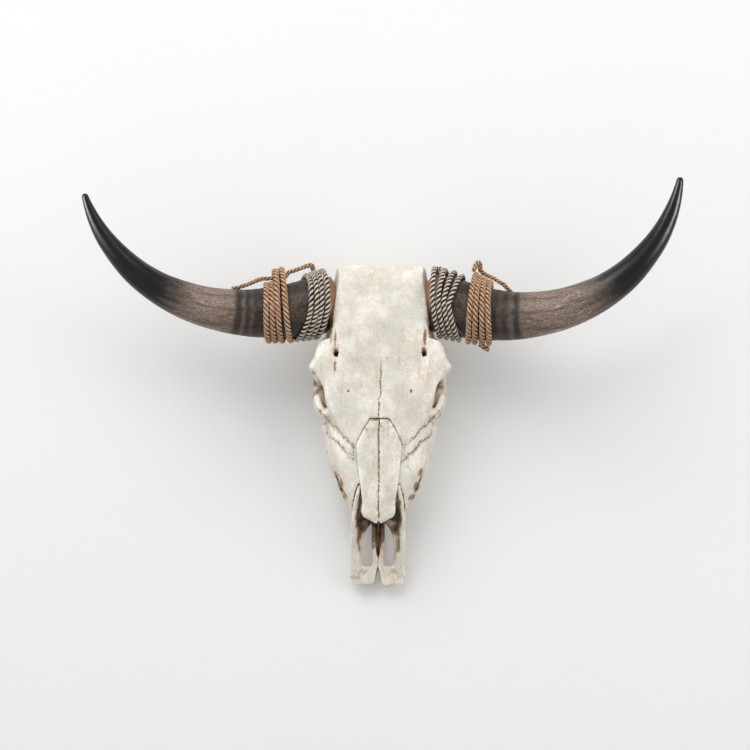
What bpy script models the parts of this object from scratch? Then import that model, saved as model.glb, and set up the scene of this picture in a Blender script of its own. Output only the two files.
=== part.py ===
"""Longhorn steer skull without its lower jaw, with cord and rope wound round both horns.

It lies on a flat surface as such a skull rests, forehead up, on its cheek teeth in front and on
the two paracondylar processes behind. The bones are modelled whole, then parted along their
sutures. Shapes are given in the face frame, in metres: X to the right as the face is looked at,
Y from the tip of the muzzle to the poll, and Z out of the forehead. The object's own frame is the
face frame tipped by REST_PITCH, so that the resting points are level at Z = 0.
"""

import math
from dataclasses import dataclass

import bmesh
import bpy
import numpy as np
from mathutils import Matrix, Vector

# Driving dimensions
SKULL_LENGTH = 0.514  # tip of the muzzle to the poll
REST_PITCH = math.radians(7.5)  # how far the muzzle end dips when the skull rests
REST_HEIGHT = 0.1062  # of the face frame's origin over the floor
CENTRE_X = 0.00231
CENTRE_Y = 0.32109
LEAN = 0.005  # how far the muzzle's tip leans to the left of the poll's middle
LEAN_FROM = 0.455  # the height of the horns, from where it leans
SUTURE = 0.0004  # gap between two bones
SOCKET_GAP = 0.0019  # round a bone or a horn that is set into the others
TOOTH_FOOT = 0.004  # how far the teeth are made too long, before they are cut level
TOOTH_BEVEL = 0.003

# Fineness of the solids
VOXEL = 0.0030
FINE_VOXEL = 0.0020
BONE_TRIANGLES = 1510
PREMAXILLA_TRIANGLES = 270
RING_SIDES = 16
RING_STEP = 0.011
BALL_SEGMENTS = 18
BALL_RINGS = 11
ROD_SIDES = 32
MERGE = 0.00002
HORN_STATIONS = 18
HORN_RESOLUTION = 5
ROPE_RESOLUTION = 2
WRAP_STEPS = 12  # straight pieces in a turn
SHARP = math.radians(40)

LEFT, RIGHT = -1, 1
SIDES = {"left": LEFT, "right": RIGHT}


@dataclass(frozen=True)
class Loft:
    """A body with superellipse sections across Y: each station is (x, y, z, half width, half height)."""

    stations: tuple
    squareness: float = 2.4


@dataclass(frozen=True)
class Limb:
    """A rounded bar through points, each (x, y, z, radius)."""

    points: tuple


@dataclass(frozen=True)
class Ball:
    """An ellipsoid, given by its centre and its three radii."""

    centre: tuple
    radii: tuple


@dataclass(frozen=True)
class Rod:
    """A cylinder between two points."""

    start: tuple
    end: tuple
    radius: float


@dataclass(frozen=True)
class Wedge:
    """A block over an outline in the face plane, whose far edge runs further back the deeper it is.

    Each outline point is (x, y, slides), and slides is 1 where the point runs back with depth.
    """

    outline: tuple
    top: float
    bend: float  # the far edge runs straight down to this Z
    bottom: float
    slide: float = 0.0  # run per depth below bend


# The masses on the midline
FRONTAL_ROOF = Loft(
    (
        (0, 0.226, -0.024, 0.046, 0.017),
        (0, 0.262, -0.025, 0.074, 0.022),
        (0, 0.298, -0.021, 0.088, 0.021),
        (0, 0.325, -0.017, 0.095, 0.018),
        (0, 0.340, -0.016, 0.106, 0.016),
        (0, 0.351, -0.015, 0.114, 0.015),
        (0, 0.368, -0.015, 0.107, 0.017),
        (0, 0.390, -0.016, 0.099, 0.019),
        (0, 0.404, -0.018, 0.086, 0.022),
        (0, 0.420, -0.021, 0.079, 0.026),
        (0, 0.460, -0.028, 0.080, 0.031),
        (0, 0.490, -0.030, 0.081, 0.031),
        (0, 0.505, -0.031, 0.0795, 0.025),
        (0, 0.514, -0.032, 0.065, 0.014),
    ),
    squareness=3.4,
)
BRAINCASE = Loft(
    (
        (0, 0.290, -0.070, 0.044, 0.040),
        (0, 0.350, -0.072, 0.052, 0.056),
        (0, 0.400, -0.076, 0.057, 0.060),
        (0, 0.450, -0.080, 0.061, 0.060),
        (0, 0.482, -0.080, 0.067, 0.056),
        (0, 0.498, -0.080, 0.060, 0.044),
    )
)
FACE = Loft(
    (
        (0, 0.100, -0.068, 0.043, 0.026),
        (0, 0.122, -0.062, 0.047, 0.036),
        (0, 0.142, -0.059, 0.056, 0.042),
        (0, 0.170, -0.058, 0.067, 0.047),
        (0, 0.200, -0.057, 0.080, 0.049),
        (0, 0.236, -0.057, 0.086, 0.051),
        (0, 0.272, -0.058, 0.084, 0.053),
        (0, 0.306, -0.060, 0.072, 0.052),
        (0, 0.336, -0.066, 0.054, 0.046),
    )
)
OCCIPUT = Ball((0, 0.486, -0.088), (0.075, 0.018, 0.058))
BASE_OF_SKULL = Loft(
    (
        (0, 0.352, -0.122, 0.020, 0.013),
        (0, 0.430, -0.131, 0.020, 0.013),
        (0, 0.486, -0.132, 0.026, 0.014),
    )
)
MIDLINE_FORMS = (FRONTAL_ROOF, BRAINCASE, FACE, OCCIPUT, BASE_OF_SKULL)

# The masses on each side, given for the right
TOOTH_SOCKETS = Loft(
    (
        (0.047, 0.138, -0.096, 0.011, 0.012),
        (0.052, 0.165, -0.098, 0.014, 0.017),
        (0.058, 0.220, -0.100, 0.016, 0.019),
        (0.060, 0.262, -0.102, 0.016, 0.020),
        (0.056, 0.296, -0.104, 0.014, 0.018),
    ),
    squareness=3.0,
)
FACIAL_TUBER = Ball((0.071, 0.205, -0.066), (0.012, 0.024, 0.014))
MAXILLARY_TUBEROSITY = Ball((0.048, 0.300, -0.102), (0.018, 0.024, 0.026))
OCCIPITAL_CONDYLE = Ball((0.027, 0.500, -0.124), (0.016, 0.017, 0.021))
JAW_SOCKET = Ball((0.069, 0.404, -0.093), (0.019, 0.014, 0.011))
EAR_BULLA = Ball((0.036, 0.432, -0.136), (0.010, 0.018, 0.015))
MASTOID = Limb(((0.058, 0.440, -0.094, 0.018), (0.061, 0.468, -0.098, 0.014)))
PTERYGOID = Limb(((0.022, 0.330, -0.112, 0.009), (0.025, 0.372, -0.126, 0.007)))
PARACONDYLAR_PROCESS = Limb(
    ((0.055, 0.468, -0.112, 0.014), (0.052, 0.464, -0.148, 0.010), (0.050, 0.462, -0.170, 0.008))
)
SIDE_FORMS = (
    TOOTH_SOCKETS,
    FACIAL_TUBER,
    MAXILLARY_TUBEROSITY,
    OCCIPITAL_CONDYLE,
    JAW_SOCKET,
    EAR_BULLA,
    MASTOID,
    PTERYGOID,
    PARACONDYLAR_PROCESS,
)

# Thin forms on each side, added after the hollows are cut
HORN_CORE = Limb(((0.050, 0.453, -0.047, 0.042), (0.090, 0.4525, -0.045, 0.0445)))
ORBIT_RIM = Limb(
    (
        (0.106, 0.349, -0.018, 0.008),
        (0.102, 0.351, -0.044, 0.007),
        (0.099, 0.343, -0.068, 0.008),
        (0.099, 0.318, -0.078, 0.010),
        (0.097, 0.292, -0.070, 0.011),
        (0.090, 0.276, -0.048, 0.009),
        (0.086, 0.276, -0.026, 0.008),
    )
)
ZYGOMATIC_ARCH = Limb(
    (
        (0.099, 0.343, -0.070, 0.008),
        (0.095, 0.372, -0.074, 0.008),
        (0.086, 0.394, -0.082, 0.009),
        (0.070, 0.412, -0.093, 0.011),
    )
)
THIN_FORMS = (HORN_CORE, ORBIT_RIM, ZYGOMATIC_ARCH)

# Hollows
FORAMEN_MAGNUM = Limb(((0, 0.440, -0.112, 0.014), (0, 0.530, -0.116, 0.018)))
PALATE_ARCH = Loft(
    (
        (0, 0.120, -0.120, 0.028, 0.018),
        (0, 0.220, -0.128, 0.040, 0.022),
        (0, 0.330, -0.132, 0.036, 0.022),
    )
)
NASAL_CAVITY = Loft(
    (
        (0, 0.070, -0.046, 0.039, 0.038),
        (0, 0.108, -0.044, 0.038, 0.038),
        (0, 0.136, -0.044, 0.032, 0.033),
        (0, 0.170, -0.048, 0.028, 0.028),
        (0, 0.215, -0.050, 0.018, 0.018),
    )
)
MIDLINE_HOLLOWS = (NASAL_CAVITY, PALATE_ARCH, FORAMEN_MAGNUM)
ORBIT = Ball((0.097, 0.312, -0.042), (0.034, 0.030, 0.027))
PALATINE_FISSURE = Loft(
    (
        (0.0190, 0.020, -0.090, 0.0070, 0.030),
        (0.0185, 0.060, -0.090, 0.0095, 0.030),
        (0.0110, 0.103, -0.090, 0.0020, 0.030),
    )
)
SUPRAORBITAL_GROOVE = Limb(
    ((0.0735, 0.416, 0.004, 0.004), (0.0710, 0.376, 0.003, 0.005), (0.0725, 0.346, 0.005, 0.003))
)
CORD_SEAT = Rod((0.0785, 0.454, -0.045), (0.1480, 0.462, -0.036), 0.070)
SIDE_HOLLOWS = (ORBIT, PALATINE_FISSURE, SUPRAORBITAL_GROOVE, CORD_SEAT)

# Bones that are set into the others
NASAL_BONES = Loft(
    (
        (0, 0.096, -0.0210, 0.0080, 0.0025),
        (0, 0.108, -0.0180, 0.0225, 0.0036),
        (0, 0.138, -0.0135, 0.0270, 0.0045),
        (0, 0.170, -0.0100, 0.0310, 0.0052),
        (0, 0.205, -0.0078, 0.0352, 0.0056),
        (0, 0.222, -0.0068, 0.0370, 0.0056),
        (0, 0.248, -0.0050, 0.0272, 0.0052),
        (0, 0.268, -0.0036, 0.0162, 0.0045),
    ),
    squareness=2.6,
)
PREMAXILLA_TIP = Loft(
    (
        (0.0242, -0.005, -0.086, 0.0163, 0.0047),
        (0.0245, 0.010, -0.086, 0.0190, 0.0062),
        (0.0235, 0.026, -0.086, 0.017, 0.0060),
    )
)
PREMAXILLA_NASAL_PROCESS = Loft(
    (
        (0.0360, 0.008, -0.084, 0.0090, 0.007),
        (0.0365, 0.050, -0.074, 0.0075, 0.011),
        (0.0385, 0.085, -0.060, 0.0055, 0.016),
        (0.0375, 0.120, -0.040, 0.0050, 0.015),
        (0.0330, 0.148, -0.023, 0.0045, 0.009),
        (0.0300, 0.162, -0.016, 0.0030, 0.005),
    )
)
PREMAXILLA_SHELF = Loft(
    (
        (0.0290, 0.016, -0.086, 0.0090, 0.0050),
        (0.0335, 0.042, -0.085, 0.0080, 0.0050),
        (0.0335, 0.064, -0.084, 0.0080, 0.0045),
        (0.0300, 0.088, -0.083, 0.0115, 0.0040),
        (0.0250, 0.104, -0.083, 0.0145, 0.0035),
    )
)
PREMAXILLA_PALATINE_PROCESS = Loft(
    (
        (0.0098, -0.003, -0.086, 0.0045, 0.0050),
        (0.0076, 0.009, -0.086, 0.0045, 0.0055),
        (0.0057, 0.023, -0.086, 0.0046, 0.0055),
        (0.0072, 0.066, -0.086, 0.0038, 0.0050),
        (0.0068, 0.110, -0.086, 0.0035, 0.0045),
    )
)
PREMAXILLA = (PREMAXILLA_TIP, PREMAXILLA_NASAL_PROCESS, PREMAXILLA_SHELF, PREMAXILLA_PALATINE_PROCESS)

# Cheek teeth: three premolars and three molars, each (x, y, half width, half length)
CHEEK_TEETH = (
    (0.0470, 0.1560, 0.0075, 0.0080),
    (0.0500, 0.1740, 0.0090, 0.0090),
    (0.0525, 0.1935, 0.0100, 0.0095),
    (0.0555, 0.2160, 0.0115, 0.0120),
    (0.0575, 0.2430, 0.0120, 0.0140),
    (0.0570, 0.2720, 0.0110, 0.0140),
)
TOOTH_ROOT_Z = -0.098

# The space of each bone that is parted off the whole, in the order of parting
LACRIMAL = Wedge(
    ((0.041, 0.2235, 0), (0.041, 0.2060, 0), (0.110, 0.2660, 0), (0.110, 0.2940, 0)), 0.02, -0.02, -0.046
)
ZYGOMATIC = Loft(
    (
        (0.0960, 0.262, -0.066, 0.0140, 0.020),
        (0.1010, 0.285, -0.070, 0.0195, 0.034),
        (0.1060, 0.315, -0.070, 0.0230, 0.040),
        (0.1080, 0.345, -0.066, 0.0210, 0.036),
        (0.1060, 0.368, -0.076, 0.0190, 0.022),
        (0.1040, 0.388, -0.078, 0.0170, 0.016),
    ),
    squareness=4.0,
)
MAXILLA = Wedge(
    ((0.0003, 0.050, 0), (0.120, 0.050, 0), (0.120, 0.275, 1), (0.0003, 0.167, 1)), 0.03, -0.040, -0.180, 1.4
)
SIDE_BONES = {"lacrimal": LACRIMAL, "zygomatic": ZYGOMATIC, "maxilla": MAXILLA}
FRONTAL = Wedge(((-0.15, 0.15, 0), (0.15, 0.15, 0), (0.15, 0.56, 0), (-0.15, 0.56, 0)), 0.05, -0.02, -0.052)
HORN_CORE_SPACE = Rod((0.0765, 0.4535, -0.045), (0.125, 0.4535, -0.045), 0.050)
OCCIPITAL = Wedge(((-0.1, 0.456, 0), (0.1, 0.456, 0), (0.1, 0.56, 0), (-0.1, 0.56, 0)), -0.03, -0.1, -0.19)
HALF = Wedge(((0.0002, 0.0, 0), (0.15, 0.0, 0), (0.15, 0.56, 0), (0.0002, 0.56, 0)), 0.05, -0.02, -0.2)
FLOOR_BLOCK = Vector((0.6, 1.0, 0.2))


@dataclass(frozen=True)
class Horn:
    """A horn sheath. Its line starts across the skull and turns up the more the further out it is."""

    side: int
    length: float
    start_y: float
    heading: float  # degrees above sideways at the skull, in the face plane
    turn: float  # degrees that the heading gains by the tip
    forward: tuple  # degrees out of the face plane, at the skull and at the tip
    taper: float  # power of the taper
    flare: float  # extra radius at the skull
    radius: float = 0.048
    start_x: float = 0.088
    start_z: float = -0.045
    base: float = 0.010  # where the sheath begins on its line
    turn_power: float = 1.31
    taper_start: float = 0.92
    flare_reach: float = 0.028
    tip_radius: float = 0.0050
    tip_end: float = 0.96  # how far round the tip the sheath is closed with a flat
    line_steps: int = 400

    def radius_at(self, places):
        """The sheath's radius at places along its line."""
        left = 1 - np.minimum(places / self.length, 1) ** self.taper_start
        wide = self.radius * left**self.taper + self.flare * np.exp(-places / self.flare_reach)
        past = np.clip((places - self.length) / self.tip_radius + 1, 0, self.tip_end)
        return np.hypot(wide, self.tip_radius) * np.sqrt(1 - past**2)

    def frames(self, places):
        """At each place along the horn: its middle, its direction, and the side towards the poll."""
        s = np.linspace(0, self.length, self.line_steps)
        heading = np.radians(self.heading + self.turn * (s / self.length) ** self.turn_power)
        rise = np.radians(np.interp(s, (0, self.length), self.forward))
        flat = np.cos(rise)
        along = np.stack((self.side * np.cos(heading) * flat, np.sin(heading) * flat, np.sin(rise)), 1)
        runs = (along[1:] + along[:-1]) / 2 * (s[1] - s[0])
        line = np.vstack(((0, 0, 0), np.cumsum(runs, 0)))
        line += (self.side * self.start_x, self.start_y, self.start_z)
        poll = np.stack((-self.side * np.sin(heading), np.cos(heading), 0 * s), 1)
        return [np.stack([np.interp(places, s, v[:, i]) for i in range(3)], 1) for v in (line, along, poll)]

    def around(self, places, angles, distances):
        """Points round the horn. Angle 0 is its face side, 90 degrees its poll side, 180 its back."""
        middle, along, poll = self.frames(places)
        middle = middle + along * np.minimum(places, 0)[:, None]
        face = self.side * np.cross(along, poll)
        turn = np.radians(angles)[:, None]
        return middle + np.asarray(distances)[:, None] * (np.cos(turn) * face + np.sin(turn) * poll)


HORNS = {
    "left": Horn(LEFT, 0.4755, 0.454, -14.2, 89.5, (9.0, 14.0), 0.68, 0.000),
    "right": Horn(RIGHT, 0.5100, 0.458, -20.4, 104.2, (10.0, 15.0), 0.65, 0.003, turn_power=1.20),
}


@dataclass(frozen=True)
class Wrap:
    """Rope wound round a horn from its back: where the turns lie, from the skull outwards."""

    horn: str
    start: float  # of the winding along the horn
    rope: float  # diameter
    slant: float  # how much further out the turns lie on the muzzle side than on the poll side
    face_out: float  # and on the face side than midway between those
    spacing: float = 1.06  # from turn to turn, in rope diameters
    poll_spread: float = 0.0  # how much wider the turns lie apart on the poll side
    muzzle_out: float = 0.0  # how much further out they lie where they face the muzzle
    first_gap: float = 0.0  # room between the first turn and the second
    lifts: tuple = ()  # (turn, height) for the turns that pass over the rope's own tail
    turns: float = 4.0
    gap: float = 0.0010  # between the rope and the horn
    lift_angle: float = 96.0  # where the tail runs, round the horn
    lift_spread: float = 34.0  # degrees over which a turn rises to pass over it

    def line(self, turn):
        """Place along the horn, angle round it and distance from its line, after so many turns."""
        angle = 180 + 360 * turn
        across, out = np.cos(np.radians(angle)), np.sin(np.radians(angle))
        places = self.start + self.spacing * self.rope * turn - self.slant / 2 * out + self.face_out * across
        places = places + self.poll_spread * turn * np.maximum(out, 0)
        places = places + self.muzzle_out * np.maximum(-out, 0) ** 2
        places = places + self.first_gap * np.interp(turn, (0.7, 1.3), (0, 1))
        radii = HORNS[self.horn].radius_at(np.maximum(places, 0)) + self.rope / 2 + self.gap
        for over, height in self.lifts:
            off = (angle - 360 * (over + 1) - self.lift_angle) / self.lift_spread
            radii = radii + height * np.exp(-(off**2))
        return places, angle, radii


ACCENT_ROPE = 0.0086
JUTE_ROPE = 0.0094
TAIL_ROPE = 0.0070
OVER_TAIL = ((0, 0.0190), (1, 0.0188))
AT_SKULL = ((0, -0.0085), (1, -0.0045))
UNDER_LOOP = ((0, 0.0100), (1, 0.0084), (2, 0.0066), (3, 0.0046))
WRAPS = {
    "accent_cord_left": Wrap("left", 0.0031, ACCENT_ROPE, 0.0296, -0.0029, muzzle_out=0.0078),
    "accent_cord_right": Wrap(
        "right", -0.0034, ACCENT_ROPE, 0.0540, 0.0028, poll_spread=0.0074, lifts=AT_SKULL
    ),
    "jute_wrap_left": Wrap(
        "left", 0.0601, JUTE_ROPE, 0.0060, 0.0080, spacing=1.03, first_gap=0.0032, lifts=OVER_TAIL
    ),
    "jute_wrap_right": Wrap("right", 0.0561, JUTE_ROPE, 0.0154, 0.0053, lifts=UNDER_LOOP),
}
# Loose ends, each point (place along the horn, angle round it, distance from its line, thickness factor)
TAILS = {
    "jute_tail_left": (
        "left",
        (
            (0.158, 112, 0.0400, 1.0),
            (0.149, 106, 0.0405, 1.0),
            (0.128, 101, 0.0475, 1.0),
            (0.106, 98, 0.0550, 1.0),
            (0.092, 97, 0.0556, 1.0),
            (0.080, 96, 0.0556, 1.0),
            (0.070, 96, 0.0556, 1.0),
            (0.058, 96, 0.0556, 1.0),
            (0.052, 95, 0.0615, 1.0),
            (0.040, 94, 0.0630, 1.0),
            (0.028, 93, 0.0645, 1.0),
            (0.019, 93, 0.0660, 1.1),
            (0.011, 95, 0.0666, 1.2),
            (0.006, 101, 0.0660, 1.25),
            (0.004, 112, 0.0640, 1.2),
        ),
    ),
    "jute_loop_right": (
        "right",
        (
            (0.0452, 80, 0.0640, 1.1),
            (0.0462, 84, 0.0720, 1.2),
            (0.0474, 88, 0.0790, 1.2),
            (0.0512, 91, 0.0820, 1.2),
            (0.0552, 94, 0.0790, 1.2),
            (0.0572, 98, 0.0735, 1.2),
            (0.0620, 101, 0.0712, 1.1),
            (0.0700, 103, 0.0690, 1.0),
            (0.079, 104, 0.0672, 1.0),
            (0.090, 104, 0.0640, 1.0),
            (0.102, 103, 0.0585, 1.0),
            (0.111, 102, 0.0510, 1.0),
            (0.120, 112, 0.0450, 1.0),
            (0.126, 122, 0.0440, 1.0),
        ),
    ),
}


@dataclass(frozen=True)
class Finish:
    """A plain surface: its colour and how rough it is."""

    name: str
    colour: tuple
    roughness: float


BONE = Finish("bone", (0.80, 0.75, 0.64), 0.55)
MUZZLE_BONE = Finish("muzzle_bone", (0.74, 0.68, 0.56), 0.60)
HORN_SHEATH = Finish("horn", (0.09, 0.07, 0.06), 0.30)
ACCENT_CORD = Finish("accent_cord", (0.42, 0.36, 0.31), 0.85)
JUTE = Finish("jute", (0.55, 0.34, 0.19), 0.90)


def clear_scene():
    """Empties the file of objects."""
    for obj in list(bpy.data.objects):
        bpy.data.objects.remove(obj)


def new_collection(name):
    collection = bpy.data.collections.new(name)
    bpy.context.scene.collection.children.link(collection)
    return collection


def paint(obj, finish):
    """Gives obj the finish, and smooth shading between its sharp edges."""
    material = bpy.data.materials.get(finish.name) or bpy.data.materials.new(finish.name)
    material.use_nodes = True
    shader = material.node_tree.nodes["Principled BSDF"]
    shader.inputs["Base Color"].default_value = (*finish.colour, 1)
    shader.inputs["Roughness"].default_value = finish.roughness
    shader.inputs["Metallic"].default_value = 0.0
    obj.data.materials.append(material)
    obj.data.shade_smooth()
    obj.data.set_sharp_from_angle(angle=SHARP)


def add_object(name, mesh, collection):
    obj = bpy.data.objects.new(name, mesh)
    collection.objects.link(obj)
    return obj


def mesh_from(name, build):
    """A mesh that the function build fills in, given a bmesh."""
    mesh = bpy.data.meshes.new(name)
    bm = bmesh.new()
    build(bm)
    bmesh.ops.recalc_face_normals(bm, faces=bm.faces)
    bm.to_mesh(mesh)
    bm.free()
    return mesh


def as_cutter(obj):
    """Marks obj as a shape that only serves to cut or join others."""
    obj.hide_render = True
    obj.display_type = "WIRE"
    return obj


def cutter(name, collection, build):
    return as_cutter(add_object(name, mesh_from(name, build), collection))


def join_rings(bm, rings):
    """Walls between rings with as many points, and a cap on the first and the last."""
    count = len(rings[0])
    for ring, following in zip(rings, rings[1:]):
        for i in range(count):
            j = (i + 1) % count
            bm.faces.new((ring[i], ring[j], following[j], following[i]))
    bm.faces.new(rings[0][::-1])
    bm.faces.new(rings[-1])


def eased(at, knots, values):
    """values at the places at, on a smooth curve through the knots."""
    slope = np.gradient(values, knots, axis=0)
    i = np.clip(np.searchsorted(knots, at) - 1, 0, len(knots) - 2)
    gap = (knots[i + 1] - knots[i])[:, None]
    t = (at - knots[i])[:, None] / gap
    return (
        values[i] * (1 + 2 * t) * (1 - t) ** 2
        + slope[i] * gap * t * (1 - t) ** 2
        + values[i + 1] * t * t * (3 - 2 * t)
        + slope[i + 1] * gap * t * t * (t - 1)
    )


def add_loft(bm, loft, side):
    """A skin over the loft's sections, with a ring about every RING_STEP."""
    stations = np.array(loft.stations, float)
    low, high = stations[0, 1], stations[-1, 1]
    at = np.linspace(low, high, max(3, round((high - low) / RING_STEP) + 1))
    rows = eased(at, stations[:, 1], stations[:, [0, 2, 3, 4]])
    angles = np.linspace(0, 2 * math.pi, RING_SIDES, endpoint=False)
    across = np.sign(np.cos(angles)) * abs(np.cos(angles)) ** (2 / loft.squareness)
    up = np.sign(np.sin(angles)) * abs(np.sin(angles)) ** (2 / loft.squareness)
    rings = []
    for y, (x, z, half_width, half_height) in zip(at, rows):
        ring = [(side * x + half_width * a, y, z + half_height * b) for a, b in zip(across, up)]
        rings.append([bm.verts.new(point) for point in ring])
    join_rings(bm, rings)


def add_ball(bm, ball, side):
    x, y, z = ball.centre
    place = Matrix.Translation((side * x, y, z)) @ Matrix.Diagonal((*ball.radii, 1))
    bmesh.ops.create_uvsphere(bm, u_segments=BALL_SEGMENTS, v_segments=BALL_RINGS, radius=1, matrix=place)


def add_cone(bm, a, b, radius_a, radius_b, sides):
    """A closed cone or cylinder from point a to point b."""
    place = Matrix.Translation((a + b) / 2) @ (b - a).to_track_quat("Z", "Y").to_matrix().to_4x4()
    depth = (b - a).length
    bmesh.ops.create_cone(
        bm, cap_ends=True, segments=sides, radius1=radius_a, radius2=radius_b, depth=depth, matrix=place
    )


def add_limb(bm, limb, side):
    """A ball at each point, and a cone between each two."""
    points = [(Vector((side * x, y, z)), radius) for x, y, z, radius in limb.points]
    for point, radius in points:
        add_ball(bm, Ball(tuple(point), (radius, radius, radius)), RIGHT)
    for (a, radius_a), (b, radius_b) in zip(points, points[1:]):
        add_cone(bm, a, b, radius_a, radius_b, BALL_SEGMENTS)


def add_rod(bm, rod, side):
    a, b = (Vector((side * x, y, z)) for x, y, z in (rod.start, rod.end))
    add_cone(bm, a, b, rod.radius, rod.radius, ROD_SIDES)


def add_wedge(bm, wedge, side):
    """The block as three levels of its outline, joined."""
    rings = []
    for z in (wedge.bottom, wedge.bend, wedge.top):
        run = wedge.slide * max(0.0, wedge.bend - z)
        rings.append([bm.verts.new((side * x, y + slides * run, z)) for x, y, slides in wedge.outline])
    join_rings(bm, rings)


ADDERS = {Loft: add_loft, Ball: add_ball, Limb: add_limb, Rod: add_rod, Wedge: add_wedge}


def add_form(bm, form, side=RIGHT):
    """Adds a form of any kind, mirrored where side is LEFT."""
    ADDERS[type(form)](bm, form, side)


def add_forms(bm, middle, sides):
    """Adds forms on the midline once, and those of a side on both sides."""
    for form in middle:
        add_form(bm, form)
    for side in SIDES.values():
        for form in sides:
            add_form(bm, form, side)


def floor_height(y):
    """Z of the resting plane in the face frame."""
    return -(REST_HEIGHT + y * math.sin(REST_PITCH)) / math.cos(REST_PITCH)


def add_teeth(bm, side):
    """The row of crowns on one side, each a block with bevelled edges down past the floor."""
    for x, y, half_width, half_length in CHEEK_TEETH:
        foot = floor_height(y) - TOOTH_FOOT
        size = Matrix.Diagonal((2 * half_width, 2 * half_length, TOOTH_ROOT_Z - foot, 1))
        middle = Matrix.Translation((side * x, y, (TOOTH_ROOT_Z + foot) / 2))
        made = bmesh.ops.create_cube(bm, size=1, matrix=middle @ size)
        edges = {edge for vert in made["verts"] for edge in vert.link_edges}
        upright = [edge for edge in edges if abs(edge.verts[0].co.z - edge.verts[1].co.z) > TOOTH_FOOT]
        bmesh.ops.bevel(bm, geom=upright, offset=TOOTH_BEVEL, segments=1, affect="EDGES")


def add_floor(bm):
    """A block whose top is the resting plane, which cuts the feet of the skull level."""
    level = Matrix.Rotation(-REST_PITCH, 4, "X")
    down = Matrix.Translation((0, 0, -REST_HEIGHT - FLOOR_BLOCK.z / 2))
    bmesh.ops.create_cube(bm, size=1, matrix=level @ down @ Matrix.Diagonal((*FLOOR_BLOCK, 1)))


def baked(obj):
    """obj with its modifiers made part of its mesh."""
    graph = bpy.context.evaluated_depsgraph_get()
    mesh = bpy.data.meshes.new_from_object(obj.evaluated_get(graph))
    obj.modifiers.clear()
    obj.data = mesh
    return obj


def fuse(obj, voxel, smoothing=0):
    """Makes one skin of the forms that overlap in obj."""
    remesh = obj.modifiers.new("Fuse", "REMESH")
    remesh.mode = "VOXEL"
    remesh.voxel_size = voxel
    smooth = obj.modifiers.new("Blend", "SMOOTH")
    smooth.iterations = smoothing
    return baked(obj)


def thin_out(obj, triangles):
    """Lowers obj's triangle count, keeping its shape."""
    obj.data.calc_loop_triangles()
    decimate = obj.modifiers.new("Fewer faces", "DECIMATE")
    decimate.ratio = min(1.0, triangles / len(obj.data.loop_triangles))
    decimate.use_collapse_triangulate = True
    return baked(obj)


def combine(obj, other, operation):
    """Cuts obj with other, joins them, or keeps what they share."""
    boolean = obj.modifiers.new(operation.title(), "BOOLEAN")
    boolean.operation = operation
    boolean.object = other
    return baked(obj)


def grown(obj, gap):
    """A copy of obj whose faces lie further out by gap."""
    mesh = obj.data.copy()
    bm = bmesh.new()
    bm.from_mesh(mesh)
    bm.normal_update()
    moves = [vert.normal * gap * min(vert.calc_shell_factor(), 2.0) for vert in bm.verts]
    for vert, move in zip(bm.verts, moves):
        vert.co += move
    bm.to_mesh(mesh)
    bm.free()
    return add_object(obj.name + "_room", mesh, obj.users_collection[0])


def make_room(obj, other, gap=SUTURE):
    """Takes other, and the gap round it, out of obj."""
    room = grown(other, gap)
    combine(obj, room, "DIFFERENCE")
    bpy.data.objects.remove(room)


def bodies_of(bm):
    """The connected bodies of bm as sets of points, the smallest first."""
    left = set(bm.verts)
    bodies = []
    while left:
        body = set()
        to_visit = [left.pop()]
        while to_visit:
            vert = to_visit.pop()
            body.add(vert)
            near = {edge.other_vert(vert) for edge in vert.link_edges} & left
            left -= near
            to_visit.extend(near)
        bodies.append(body)
    return sorted(bodies, key=len)


def keep_main_body(obj):
    """Drops the slivers that a cut leaves loose, and the fins that it leaves on an edge."""
    bm = bmesh.new()
    bm.from_mesh(obj.data)
    bmesh.ops.triangulate(bm, faces=bm.faces)
    faces_at = {face: [len(edge.link_faces) for edge in face.edges] for face in bm.faces}
    fins = [face for face, counts in faces_at.items() if 1 in counts and max(counts) > 2]
    bmesh.ops.delete(bm, geom=fins, context="FACES")
    loose = [vert for body in bodies_of(bm)[:-1] for vert in body]
    bmesh.ops.delete(bm, geom=loose, context="VERTS")
    bm.to_mesh(obj.data)
    bm.free()


def part_off(name, rest, space, bones):
    """Parts the bone that lies in the space off rest, and leaves a suture between them."""
    bone = add_object(name, rest.data.copy(), bones)
    combine(bone, space, "INTERSECT")
    keep_main_body(bone)
    make_room(rest, space)


def curve_solid(name, points, radii, resolution, collection):
    """A tube through the points with a radius at each, as a closed mesh."""
    curve = bpy.data.curves.new(name, "CURVE")
    curve.dimensions = "3D"
    curve.bevel_depth = 1.0
    curve.bevel_resolution = resolution
    curve.use_fill_caps = True
    spline = curve.splines.new("POLY")
    spline.points.add(len(points) - 1)
    for target, point, radius in zip(spline.points, points, radii):
        target.co = (*point, 1)
        target.radius = radius
    guide = add_object(name + "_line", curve, collection)
    mesh = bpy.data.meshes.new_from_object(guide.evaluated_get(bpy.context.evaluated_depsgraph_get()))
    bpy.data.objects.remove(guide)
    bm = bmesh.new()
    bm.from_mesh(mesh)
    bmesh.ops.remove_doubles(bm, verts=bm.verts, dist=MERGE)
    bmesh.ops.recalc_face_normals(bm, faces=bm.faces)
    bm.to_mesh(mesh)
    bm.free()
    return add_object(name, mesh, collection)


def build_horn(name, horn, collection):
    """The sheath: a tapered tube with closer stations towards the tip."""
    spread = np.sin(np.linspace(0, math.pi / 2, HORN_STATIONS))
    places = horn.base + (horn.length - horn.base) * spread
    return curve_solid(name, horn.frames(places)[0], horn.radius_at(places), HORN_RESOLUTION, collection)


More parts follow.
